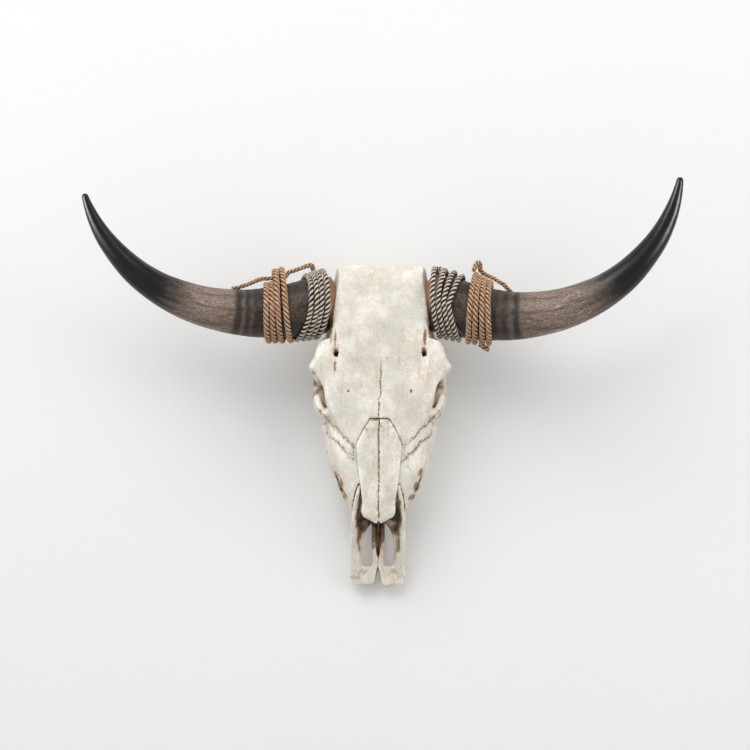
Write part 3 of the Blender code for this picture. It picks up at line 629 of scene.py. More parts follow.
# Finer hollows of each side
SUPRAORBITAL_FORAMEN = limb((70.5, 382, -1, 3.4), (70, 371, -4, 3.6), (70, 374, -18, 3.4))
BROW_GROOVE = limb((73, 410, 3, 4), (71, 384, 0.5, 4.4), (73, 350, 1.5, 3.6))
INFRAORBITAL_FORAMEN = limb((62, 138, -52, 5), (52, 166, -56, 4))
OPTIC_CANAL = limb((75, 322, -62, 6), (46, 338, -66, 5))
ORBIT_FISSURE = limb((62, 345, -80, 6), (46, 362, -84, 5))
LACRIMAL_HOLE = limb((84, 288, -40, 4), (70, 276, -44, 3))
BROW_PIT = ball((50, 312, 1), (1.7, 2.2, 4))
EAR_HOLE = limb((66, 436, -112, 5), (48, 434, -116, 4))
CONDYLE_HOLE = limb((40, 486, -136, 4), (30, 478, -126, 3.5))
PALATE_HOLE = limb((18, 262, -124, 4.5), (18, 268, -104, 3.5))
CHOANA = limb((12, 318, -122, 8.5), (11, 290, -100, 8))
TEMPLE_HOLLOW = ball((72, 380, -62), (18, 26, 22))
HORN_STRIP = limb((79, 412, -10, 2.6), (78.5, 424, -11, 3), (77.5, 440, -12, 2.2))
PREMOLAR_PITS = limb((56, 136, -46, 2.8), (62, 156, -48, 3), (67, 176, -50, 2.6))
FINE_HOLLOWS = (
    BROW_GROOVE, SUPRAORBITAL_FORAMEN, INFRAORBITAL_FORAMEN, OPTIC_CANAL, ORBIT_FISSURE, LACRIMAL_HOLE,
    BROW_PIT, EAR_HOLE, CONDYLE_HOLE, PALATE_HOLE, CHOANA, TEMPLE_HOLLOW, HORN_STRIP, PREMOLAR_PITS,
)
# Finer forms on the midline
POLL_KNOB = ball((0, 505, -52), (16, 8, 10))
VOMER = loft((0, 118, -78, 2.2, 10), (0, 170, -70, 2, 14), (0, 220, -60, 3, 12))
PALATE_RIDGE = limb((0, 130, -104, 3), (0, 280, -108, 3))
FINE_MIDLINE_FORMS = (POLL_KNOB, VOMER, PALATE_RIDGE)
MIDLINE_DIP = limb((0, 266, 8.5, 9), (0, 330, 8, 8), (0, 372, 6.5, 6))
# Details of the bones that are set in
NASAL_FURROW = limb((0, 94, -15.5, 1.6), (0, 180, -2, 2.2), (0, 270, 3.5, 2.2))
PREMAXILLA_LIPS = {
    Side.LEFT: ball((18, -0.5, -86), (11, 5.5, 4.6)),
    Side.RIGHT: ball((12.5, -4.5, -86), (6.8, 5.6, 4.4)),
}
PALATE_FLANGE = loft((4, 30, -89.5, 3.8, 1.5), (4, 112, -89.5, 3.8, 1.5))
PALATE_WING = limb((29, 74, -86, 3), (20.2, 92, -86, 4.6), (10.3, 105, -86, 4.8), (5, 114, -86, 4))
LIP_HOLLOW = ball((25, 12, -78), (6, 8, 4))

# How far in and how high the cheekbone's space reaches along the skull: (y, x, z)
CHEEKBONE_WALLS = metres(
    (262, 82, -46), (285, 81.5, -36), (315, 83, -33), (345, 87, -30), (368, 87, -54), (388, 87, -62)
)

# Where earth and resin have stained the bone, and painted shade in the nasal cavity: a place, how far it
# spreads, and how brown it is
STAINS_AND_CAVITY_SHADE = (
    ((81.5, 458, -40), (8.5, 56, 50), 1.1), ((78.5, 412, -14), (6, 18, 14), 1),
    ((74, 500, -30), (14, 14, 20), 0.42), ((71.8, 400, 0), (3.4, 26, 10), 1.05),
    ((72.2, 352, 0), (3, 16, 10), 0.9), ((70.3, 375, -4), (4.2, 8.5, 12), 1.45),
    ((78.5, 440, -6), (3.8, 64, 14), 1.1), ((68, 180, -50), (8, 13, 30), 1.2),
    ((62, 160, -50), (8, 14, 30), 1.3), ((54, 140, -52), (8, 12, 30), 1.25),
    ((84, 205, -60), (8, 20, 16), 0.6), ((0, 268, 0), (17, 5, 10), 1), ((93, 280, -48), (15, 22, 30), 0.9),
    ((103, 316, -66), (11, 24, 22), 1.05), ((70, 245, -30), (22, 20, 30), 0.5),
    ((100, 305, -40), (11, 18, 22), 0.85), ((97, 325, -50), (14, 22, 22), 0.8),
    ((106, 342, -12), (7, 9, 12), 0.75), ((86, 330, -70), (30, 34, 34), 1), ((50, 312, 0), (2.4, 3, 5), 1.2),
    # The nasal cavity and palatine fissures: brown stain, and painted shade that takes this deep recess
    # towards black.
    ((0, 120, -64), (34, 58, 30), 1.75), ((0, 98, -88), (36, 40, 22), 1.7), ((15, 100, -83), (14, 16, 14), 2),
    ((0, 75, -84), (3.6, 40, 12), 1.2), ((29, 100, -76), (9, 28, 18), 2),
    ((32.5, 110, -56), (6.2, 36, 42), 1.9), ((23, 106, -78), (12, 26, 20), 2),
    ((31, 70, -62), (6.5, 26, 26), 1.2), ((29, 50, -86), (7, 40, 12), 0.65), ((18, 18, -81), (9, 6, 10), 0.6),
    ((0, 200, -130), (60, 110, 30), 0.45), ((0, 500, -110), (60, 30, 50), 0.45),
)


class Graph:
    """Short ways to lay out shader nodes in a material or a node group."""

    def __init__(self, tree: Tree) -> None:
        """Works on a node tree."""
        self.tree = tree

    def node(self, kind: str, inputs: dict | None = None, **settings: object) -> bpy.types.Node:
        """Adds a node.

        Args:
            kind: its type, without the ShaderNode at its start.
            inputs: what goes into its sockets, by name or number: a socket to link, or a value.
            settings: its properties.

        Returns:
            The node.
        """
        made = self.tree.nodes.new("ShaderNode" + kind)
        for name, value in settings.items():
            setattr(made, name, value)
        for name, value in (inputs or {}).items():
            self.feed(made.inputs[name], value)
        return made

    def feed(self, socket: Socket, value: object) -> None:
        """Links a socket to another, or sets its value."""
        if isinstance(value, Socket):
            self.tree.links.new(value, socket)
        else:
            socket.default_value = value

    def math(self, operation: str, *values: object, clamp: bool = False) -> Socket:
        """The result of a Math node."""
        return self.node("Math", dict(enumerate(values)), operation=operation, use_clamp=clamp).outputs[0]

    def times(self, a: object, b: object, clamp: bool = False) -> Socket:
        """The product of two values."""
        return self.math("MULTIPLY", a, b, clamp=clamp)

    def plus(self, a: object, b: object) -> Socket:
        """The sum of two values."""
        return self.math("ADD", a, b)

    def minus(self, a: object, b: object, clamp: bool = False) -> Socket:
        """One value less another."""
        return self.math("SUBTRACT", a, b, clamp=clamp)

    def most(self, a: object, b: object) -> Socket:
        """The higher of two values."""
        return self.math("MAXIMUM", a, b)

    def size_of(self, value: object) -> Socket:
        """A value without its sign."""
        return self.math("ABSOLUTE", value)

    def bump(self, shader: bpy.types.Node, height: Socket, strength: float, distance: float) -> None:
        """Gives a shader the relief of a height."""
        inputs = {"Height": height, "Strength": strength, "Distance": distance}
        self.feed(shader.inputs["Normal"], self.node("Bump", inputs).outputs["Normal"])

    def layers(self, colour: object, *coats: tuple) -> Socket:
        """A colour with coats over it, each (share, colour)."""
        for share, coat in coats:
            colour = self.mix(share, colour, coat)
        return colour

    def span(self, value: object, low: object, high: object, first: float = 0, last: float = 1) -> Socket:
        """value, mapped smoothly from low..high to first..last and held there."""
        inputs = {"Value": value, "From Min": low, "From Max": high, "To Min": first, "To Max": last}
        return self.node("MapRange", inputs, interpolation_type="SMOOTHSTEP").outputs["Result"]

    def mix(self, share: object, a: object, b: object) -> Socket:
        """Colour a turned towards b by a share."""
        return self.node("Mix", {0: share, 6: a, 7: b}, data_type="RGBA").outputs[2]

    def mark(self, name: str, output: str) -> Socket:
        """A value kept on the mesh's points: output is Vector or Fac."""
        return self.node("Attribute", attribute_name=name).outputs[output]

    def scaled(self, vector: object, scale: tuple) -> Socket:
        """A vector with its parts multiplied."""
        return self.node("VectorMath", {0: vector, 1: scale}, operation="MULTIPLY").outputs[0]

    def noise(self, vector: object, scale: object, detail: float = 3.0, rough: float = 0.55) -> Socket:
        """Cloudy noise from 0 to 1, mostly near a half."""
        inputs = {"Vector": vector, "Scale": scale, "Detail": detail, "Roughness": rough}
        return self.node("TexNoise", inputs).outputs["Fac"]

    def place(self, group: Tree, inputs: dict) -> bpy.types.Node:
        """Adds a node group."""
        return self.node("Group", inputs, node_tree=group)


class Effect:
    """A shader effect that several materials use, as a node group that is made once."""

    def __init__(self, name: str, inputs: dict[str, object], outputs: tuple[str, ...]) -> None:
        """Makes an empty group.

        Args:
            name: the group's name.
            inputs: its inputs and their first values; a tuple makes a vector input.
            outputs: its outputs, all floats.
        """
        self.group = bpy.data.node_groups.new(name, "ShaderNodeTree")
        self.graph = Graph(self.group)
        for socket, value in inputs.items():
            kind = "NodeSocketVector" if isinstance(value, tuple) else "NodeSocketFloat"
            made = self.group.interface.new_socket(socket, in_out="INPUT", socket_type=kind)
            made.default_value = value
        for socket in outputs:
            self.group.interface.new_socket(socket, in_out="OUTPUT", socket_type="NodeSocketFloat")
        self.given = self.group.nodes.new("NodeGroupInput").outputs
        self.result = self.group.nodes.new("NodeGroupOutput").inputs


def crack_effect() -> Tree:
    """Fine dark cracks with broken runs."""
    inputs = {"Place": (0.0, 0.0, 0.0), "Scale": 40.0, "Width": 0.02, "Amount": 0.5}
    made = Effect("Hairline cracks", inputs, ("Cracks",))
    g, given = made.graph, made.given
    bent = g.node("TexNoise", {"Vector": given["Place"], "Scale": 90.0, "Detail": 2.0}).outputs["Color"]
    bent = g.node("VectorMath", {0: bent, 1: (0.5, 0.5, 0.5)}, operation="SUBTRACT").outputs[0]
    bent = g.node("VectorMath", {0: bent, "Scale": 0.010}, operation="SCALE").outputs[0]
    at = g.node("VectorMath", {0: given["Place"], 1: bent}, operation="ADD").outputs[0]
    cells = g.node("TexVoronoi", {"Vector": at, "Scale": given["Scale"]}, feature="DISTANCE_TO_EDGE")
    line = g.minus(1.0, g.math("DIVIDE", cells.outputs["Distance"], given["Width"]), clamp=True)
    runs = g.noise(given["Place"], 34.0, 2.0)
    shown = g.minus(g.plus(runs, given["Amount"]), 0.95, clamp=True)
    g.feed(made.result["Cracks"], g.times(line, g.times(shown, 5.0, clamp=True), clamp=True))
    return made.group


def pore_effect() -> Tree:
    """Small round pits, more of them where Amount is high."""
    made = Effect("Pores", {"Place": (0.0, 0.0, 0.0), "Scale": 500.0, "Amount": 0.3}, ("Pores",))
    g, given = made.graph, made.given
    voronoi = g.node("TexVoronoi", {"Vector": given["Place"], "Scale": given["Scale"], "Randomness": 1.0})
    dot = g.span(voronoi.outputs["Distance"], 0.34, 0.14)
    pick = g.node("SeparateColor", {0: voronoi.outputs["Color"]}).outputs[0]
    kept = g.math("LESS_THAN", pick, given["Amount"])
    g.feed(made.result["Pores"], g.times(dot, kept))
    return made.group


def mottle_effect() -> Tree:
    """Uneven patches, large and small."""
    inputs = {"Place": (0.0, 0.0, 0.0), "Scale": 12.0, "Sharpness": 0.1}
    made = Effect("Mottle", inputs, ("Patches", "Specks"))
    g, (at, scale, sharpness) = made.graph, (made.given[name] for name in inputs)
    patches = g.span(g.noise(at, scale, 5.0, 0.62), g.minus(0.5, sharpness), g.plus(0.5, sharpness))
    g.feed(made.result["Patches"], patches)
    g.feed(made.result["Specks"], g.span(g.noise(at, g.times(scale, 14.0), 3.0, 0.6), 0.42, 0.68))
    return made.group


@dataclass
class Effects:
    """The shared shader effects."""

    cracks: Tree = field(default_factory=crack_effect)
    pores: Tree = field(default_factory=pore_effect)
    mottle: Tree = field(default_factory=mottle_effect)


def placed(name: str, data: bpy.types.ID) -> Piece:
    """An object in the scene."""
    made = bpy.data.objects.new(name, data)
    bpy.context.scene.collection.objects.link(made)
    return made


def new_material(name: str) -> tuple[Material, Graph, bpy.types.Node]:
    """A material, its graph and its shader."""
    material = bpy.data.materials.new(name)
    material.use_nodes = True
    return material, Graph(material.node_tree), material.node_tree.nodes["Principled BSDF"]


@dataclass(frozen=True)
class BoneFinish:
    """Dry, weathered bone: ivory with cooler and warmer patches, and brown in its seams and hollows. The
    hollows' brown is partly grime and partly painted shade, from how hidden they are.
    """

    name: str
    ivory: Colour = (0.810, 0.745, 0.640, 1)
    white: Colour = (0.900, 0.865, 0.800, 1)
    cool: Colour = (0.670, 0.650, 0.550, 1)
    warm: Colour = (0.660, 0.470, 0.270, 1)
    brown: Colour = (0.235, 0.120, 0.052, 1)
    dark: Colour = (0.040, 0.020, 0.011, 1)
    hollow_grime_and_shade: float = 1.0  # how readily hollows go brown and dark: grime, and painted shade where they are hidden
    roughness: tuple = (0.42, 0.70)
    specular: float = 0.45
    relief: tuple = (0.70, 0.0008)  # strength and depth of its bumps

    def material(self, effects: Effects) -> Material:
        """Builds the material."""
        material, g, shader = new_material(self.name)
        at = g.mark("place", "Vector")
        hidden, stain, seam = (g.mark(name, "Fac") for name in ("hidden", "stain", "seam"))
        mottle = g.place(effects.mottle, {"Place": at, "Scale": 19.0, "Sharpness": 0.10}).outputs
        stretched = g.scaled(at, (1.0, 0.4, 1.0))
        cracks = g.place(effects.cracks, {"Place": stretched, "Scale": 48.0, "Width": 0.022, "Amount": 0.36})
        cracks = g.most(cracks.outputs["Cracks"], self.midline(g, at))
        worn = g.noise(at, 46.0, 5.0, 0.68)
        coarse = g.noise(at, 120.0, 4.0, 0.7)
        streaks = g.noise(g.scaled(at, (1.0, 0.22, 1.0)), 90.0, 4.0, 0.6)
        uneven = g.plus(g.minus(worn, 0.5), g.times(g.minus(coarse, 0.5), 0.8))
        soaked = g.span(g.plus(stain, g.times(uneven, 1.3)), 0.28, 0.95)
        edge = g.times(g.span(seam, 0.0050, 0.0003), g.span(g.noise(at, 150.0, 4.0, 0.7), 0.46, 0.66))
        line = g.times(g.span(seam, 0.0011, 0.0002), g.span(coarse, 0.46, 0.62))
        edge = g.most(edge, line)
        pores_near = g.plus(g.times(g.most(stain, edge), 0.70), 0.03)
        pores = g.place(effects.pores, {"Place": at, "Scale": 430.0, "Amount": pores_near}).outputs["Pores"]
        # Painted shade: how hidden a point is darkens it, with some uneven grime mixed in.
        grime_and_shade = g.plus(g.times(hidden, self.hollow_grime_and_shade), g.times(uneven, 0.30))
        colour = g.layers(
            self.ivory,
            (g.span(worn, 0.40, 0.60), self.white),
            (g.times(mottle["Patches"], 0.75), self.cool),
            (g.span(streaks, 0.50, 0.75, 0.0, 0.55), self.warm),
            (g.times(mottle["Specks"], 0.16), self.brown),
            (g.span(grime_and_shade, 0.20, 0.48, 0.0, 0.65), self.warm),
            (g.span(grime_and_shade, 0.36, 0.72, 0.0, 0.92), self.brown),
            (g.span(soaked, 0.05, 0.60, 0.0, 0.70), self.warm),
            (g.times(g.span(soaked, 0.30, 0.95), 0.90), self.brown),
            (g.times(edge, 0.88), self.brown),
            (g.times(g.most(pores, cracks), 0.85), self.dark),
        )
        # Painted shade and stain: the most hidden hollows and the heaviest stains go nearly black.
        darkest_shade_and_stain = g.most(g.span(grime_and_shade, 0.66, 1.02), g.span(stain, 0.95, 1.30))
        colour = g.mix(g.times(darkest_shade_and_stain, 0.93), colour, self.dark)
        g.feed(shader.inputs["Base Color"], colour)
        rough = g.span(g.plus(worn, g.times(soaked, 0.4)), 0.35, 0.85, *self.roughness)
        g.feed(shader.inputs["Roughness"], rough)
        shader.inputs["Specular IOR Level"].default_value = self.specular
        fine = g.times(g.noise(at, 700.0, 4.0, 0.62), 0.22)
        grain = g.plus(g.times(streaks, 0.9), fine)
        dug = g.plus(g.times(pores, 0.9), g.times(g.most(cracks, edge), 1.1))
        height = g.plus(grain, g.plus(g.times(worn, 1.1), g.times(coarse, 0.6)))
        height = g.minus(height, dug)
        g.bump(shader, height, *self.relief)
        return material

    def midline(self, g: Graph, at: Socket) -> Socket:
        """The dark broken seam down the middle of the forehead."""
        x, y, z = g.node("SeparateXYZ", {0: at}).outputs
        lengthwise = g.scaled(at, (0.0, 1.0, 0.0))
        slow = g.times(g.minus(g.noise(lengthwise, 60.0, 4.0, 0.7), 0.5), 0.0075)
        jog = g.span(y, 0.300, 0.305, -0.0012, 0.0014)
        off = g.size_of(g.minus(x, g.plus(slow, jog)))
        width = g.span(g.noise(lengthwise, 170.0, 3.0, 0.6), 0.35, 0.65, 0.0007, 0.0021)
        shown = g.times(g.span(y, 0.368, 0.345), g.span(z, -0.006, -0.002))
        broken = g.span(g.noise(at, 230.0, 3.0, 0.6), 0.34, 0.46)
        line = g.minus(1.0, g.math("DIVIDE", off, width), clamp=True)
        return g.times(g.span(line, 0.0, 0.45), g.times(shown, broken))


@dataclass(frozen=True)
class HornFinish:
    """Polished horn: near black at both ends, speckled taupe between, with dark rings."""

    name: str
    fade: tuple  # along the horn: dark base ends, taupe starts, taupe ends, dark tip starts
    bands: tuple  # (middle, half width) of the dark rings
    scratched: tuple  # along the horn, where pale scratches begin and end
    base: Colour = (0.012, 0.008, 0.006, 1)
    taupe: Colour = (0.190, 0.130, 0.098, 1)
    pale: Colour = (0.500, 0.410, 0.345, 1)
    umber: Colour = (0.060, 0.038, 0.027, 1)
    tip: Colour = (0.0035, 0.0042, 0.0066, 1)
    tan: Colour = (0.330, 0.180, 0.095, 1)
    specular: float = 0.32
    relief: tuple = (0.6, 0.0007)  # strength and depth of its bumps

    def material(self, effects: Effects) -> Material:
        """Builds the material."""
        material, g, shader = new_material(self.name)
        grain, along = g.mark("grain", "Vector"), g.mark("along", "Fac")
        fibres = g.noise(g.scaled(grain, (1.0, 1.0, 0.10)), 620.0, 4.0, 0.65)
        pepper = g.noise(g.scaled(grain, (1.0, 1.0, 0.45)), 640.0, 3.0, 0.7)
        wide_fibres = g.noise(g.scaled(grain, (1.0, 1.0, 0.12)), 110.0, 4.0, 0.65)
        cloud = g.noise(g.scaled(grain, (1.0, 1.0, 0.35)), 42.0, 5.0, 0.65)
        drift = g.times(g.minus(cloud, 0.5), 0.075)
        place = g.plus(along, drift)
        colour = g.mix(g.span(place, self.fade[0], self.fade[1]), self.base, self.taupe)
        light = g.times(g.span(pepper, 0.48, 0.62), g.span(along, 0.11, 0.19, 0.06, 1.0))
        colour = g.layers(
            colour,
            (g.times(light, 0.74), self.pale),
            (g.span(fibres, 0.50, 0.66, 0.0, 0.75), self.umber),
            (g.span(wide_fibres, 0.48, 0.64, 0.0, 0.76), self.umber),
        )
        warm = g.times(g.span(cloud, 0.48, 0.66), g.span(along, 0.12, 0.22))
        colour = g.mix(g.times(warm, 0.35), colour, self.tan)
        ring_place = g.plus(along, g.times(g.minus(wide_fibres, 0.5), 0.012))
        for middle, half in self.bands:
            off = g.size_of(g.minus(ring_place, middle))
            colour = g.mix(g.span(off, half * 1.7, half * 0.3, 0.0, 0.92), colour, self.base)
        colour = g.mix(g.span(place, self.fade[2], self.fade[3]), colour, self.tip)
        specks = g.place(effects.mottle, {"Place": grain, "Scale": 42.0, "Sharpness": 0.06}).outputs
        tan_share = g.times(specks["Specks"], g.span(along, 0.16, 0.05, 0.0, 0.46))
        colour = g.mix(g.times(tan_share, specks["Patches"]), colour, self.tan)
        scratches = self.scratches(g, grain, along)
        colour = g.layers(colour, (g.times(scratches, 0.75), self.pale), (g.span(along, 0.007, 0), self.tan))
        g.feed(shader.inputs["Base Color"], colour)
        sheen = g.span(place, self.fade[2], self.fade[3], 0.36, 0.17)
        g.feed(shader.inputs["Roughness"], g.plus(g.times(pepper, 0.16), sheen))
        shader.inputs["Specular IOR Level"].default_value = self.specular
        height = g.plus(g.times(fibres, 0.6), g.times(wide_fibres, 0.7))
        height = g.plus(height, g.plus(g.times(pepper, 0.35), g.times(cloud, 1.2)))
        height = g.times(height, g.span(along, self.fade[3], self.fade[2], 0.30, 1.0))
        g.bump(shader, height, *self.relief)
        return material

    def scratches(self, g: Graph, grain: Socket, along: Socket) -> Socket:
        """Short pale scrapes that run along part of the horn."""
        marks = g.noise(g.scaled(grain, (1.0, 1.0, 0.16)), 260.0, 2.0, 0.5)
        runs = g.noise(grain, 40.0, 2.0, 0.5)
        low, high = self.scratched
        near = g.times(g.span(along, low, low + 0.02), g.span(along, high, high - 0.03))
        return g.times(g.times(g.span(marks, 0.60, 0.66), g.span(runs, 0.44, 0.58)), near)


@dataclass(frozen=True)
class CordFinish:
    """One colour of twisted yarn, with its fibres, and dark between yarns and strands that is partly dirt and
    partly painted shade in the creases.
    """

    name: str
    colour: Colour
    pale: Colour
    deep: Colour
    sheen: float = 0.04
    sheen_roughness: float = 0.5
    specular: float = 0.12
    relief: tuple = (0.9, 0.0006)  # strength and depth of its bumps
    yarns: float = 5.0  # yarns round a strand
    yarn_lay: float = 0.012  # length of one turn of a yarn

    def material(self, effects: Effects) -> Material:
        """Builds the material."""
        material, g, shader = new_material(self.name)
        parts = g.node("SeparateXYZ", {0: g.mark("yarn", "Vector")}).outputs
        turn = g.math("ARCTAN2", parts[1], parts[0])
        wind = g.times(parts[2], 2 * math.pi / self.yarn_lay)
        phase = g.times(g.plus(turn, wind), self.yarns)
        ridge = g.size_of(g.math("SINE", g.times(phase, 0.5)))
        crease_shade = g.span(parts[0], 0.80, 0.22)
        spot = g.node("TexCoord").outputs["Object"]
        tuft = g.noise(spot, 900.0, 3.0, 0.6)
        cloud = g.noise(spot, 130.0, 3.0, 0.6)
        coiled = {0: g.math("SINE", phase), 1: g.math("COSINE", phase), 2: g.times(parts[2], 90.0)}
        fibre = g.noise(g.node("CombineXYZ", coiled).outputs[0], 2.6, 3.0, 0.65)
        # Painted shade with some dirt: the grooves between yarns and the creases between strands are
        # darkened.
        colour = g.layers(
            self.colour,
            (g.span(g.plus(fibre, cloud), 0.78, 1.22), self.pale),
            (g.span(ridge, 0.55, 0.10, 0.0, 0.70), self.deep),
            (g.span(tuft, 0.56, 0.38, 0.0, 0.55), self.deep),
            (g.times(crease_shade, 0.94), self.deep),
        )
        g.feed(shader.inputs["Base Color"], colour)
        g.feed(shader.inputs["Roughness"], g.span(tuft, 0.3, 0.7, 0.78, 0.95))
        shader.inputs["Sheen Weight"].default_value = self.sheen
        shader.inputs["Sheen Roughness"].default_value = self.sheen_roughness
        shader.inputs["Specular IOR Level"].default_value = self.specular
        height = g.plus(ridge, g.times(g.plus(tuft, fibre), 0.35))
        g.bump(shader, height, *self.relief)
        return material


def dressed(piece: Piece, node: str) -> Piece:
    """Puts a piece in the place of a plain node: hides the node's part and hangs the piece on the root."""
    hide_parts(node)
    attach(piece, "root")
    log.info("%s: %d faces", piece.name, len(piece.data.polygons))
    return piece


@dataclass
class Studio:
    """A pale floor, soft light from the poll's side, and a camera square to the forehead."""

    floor_size: float = 14.0
    floor_colour: Colour = (0.82, 0.82, 0.816, 1)
    view_point: tuple = (-0.009, 0.338)  # of the face plane, in the picture's middle
    distance: float = 4.0
    key_power: float = 82.0
    fill_power: float = 28.0
    left_panel_power: float = 120.0  # the panels only show in the horns' shine
    right_panel_power: float = 43.2
    sky: float = 0.60

    def build(self) -> None:
        """Sets up the floor, the lights, the sky and the camera."""
        self.build_floor()
        self.build_light("Key", (-1.1, 2.6, 2.8), 2.8, self.key_power)
        self.build_light("Fill", (2.6, 0.9, 2.2), 2.4, self.fill_power)
        left = self.build_light("Left panel", (-1.9, -0.05, 1.15), 1.4, self.left_panel_power)
        right = self.build_light("Right panel", (1.9, -0.5, 1.2), 0.8, self.right_panel_power)
        left.visible_diffuse = right.visible_diffuse = False
        bpy.context.scene.view_settings.view_transform = "Standard"
        world = bpy.data.worlds.new("Studio sky")
        world.use_nodes = True
        background = world.node_tree.nodes["Background"]
        background.inputs["Color"].default_value = (1.0, 1.0, 1.0, 1)
        background.inputs["Strength"].default_value = self.sky
        bpy.context.scene.world = world
        self.build_camera()

    def build_floor(self) -> None:
        """Lays a plain floor with a very faint unevenness."""
        half = self.floor_size / 2
        mesh = bpy.data.meshes.new("Floor")
        corners = [(-half, -half, 0), (half, -half, 0), (half, half, 0), (-half, half, 0)]
        mesh.from_pydata(corners, [], [(0, 1, 2, 3)])
        material, g, shader = new_material("Floor plaster")
        at = g.node("TexCoord").outputs["Object"]
        faint = g.noise(at, 1.2, 3.0)
        lighter = tuple(min(1.0, part * 1.04) for part in self.floor_colour[:3]) + (1,)
        g.feed(shader.inputs["Base Color"], g.mix(faint, self.floor_colour, lighter))
        shader.inputs["Roughness"].default_value = 0.9
        mesh.materials.append(material)
        floor = placed("Floor", mesh)

    def build_light(self, name: str, place: tuple, size: float, power: float) -> Piece:
        """Hangs a square soft light that faces the skull."""
        light = bpy.data.lights.new(name, "AREA")
        light.shape = "SQUARE"
        light.size = size
        light.energy = power
        obj = placed(name, light)
        obj.location = place
        obj.rotation_euler = (-Vector(place)).to_track_quat("-Z", "Y").to_euler()
        return obj

    def build_camera(self) -> None:
        """Places the camera over the face plane, with the picture's top towards the poll."""
        camera = bpy.data.cameras.new("Camera")
        width = FRAME_PIXELS * PIXEL
        camera.lens = camera.sensor_width * self.distance / width
        obj = placed("Camera", camera)
        obj.location = Vector(to_part(np.array(((*self.view_point, self.distance),)), False)[0])
        obj.rotation_euler = (REST_PITCH, 0, 0)
        bpy.context.scene.camera = obj


@dataclass
class Suture:
    """How the edge between two bones wanders."""

    gap: float = -0.0006  # negative where neighbours reach into each other a little
    wave: float = 0.0021
    wave_length: float = 0.0080

    def wander(self, along: Array, seed: float) -> Array:
        """How far the edge is off its mean at each place along it."""
        turn = 2 * math.pi * along / self.wave_length
        slow = np.sin(0.31 * turn + seed) + 0.6 * np.sin(0.83 * turn + 2.1 * seed)
        quick = 0.45 * np.sin(2.3 * turn + 1.1 * np.sin(0.9 * turn + seed))
        return self.wave * (0.5 * np.sin(turn + 1.7 * np.sin(0.47 * turn + seed)) + 0.7 * slow + quick)


@dataclass(frozen=True)
class Blends:
    """Over what span the skull's forms and hollows run into what is there."""

    midline: float = 0.010
    side: float = 0.008
    thin: float = 0.007
    muzzle: float = 0.006
    fine_midline: float = 0.005
    fine: float = 0.004
    wing: float = 0.003
    flange: float = 0.0015
    tooth: float = 0.0012
    nasals: float = 0.001
    midline_hollow: float = 0.006
    side_hollow: float = 0.005
    dip: float = 0.004
    furrow: float = 0.0035
    lip_hollow: float = 0.003
    fine_hollow: float = 0.0022
    cord_seat: float = 0.002
    socket: float = 0.001
    cut: float = 0.0008


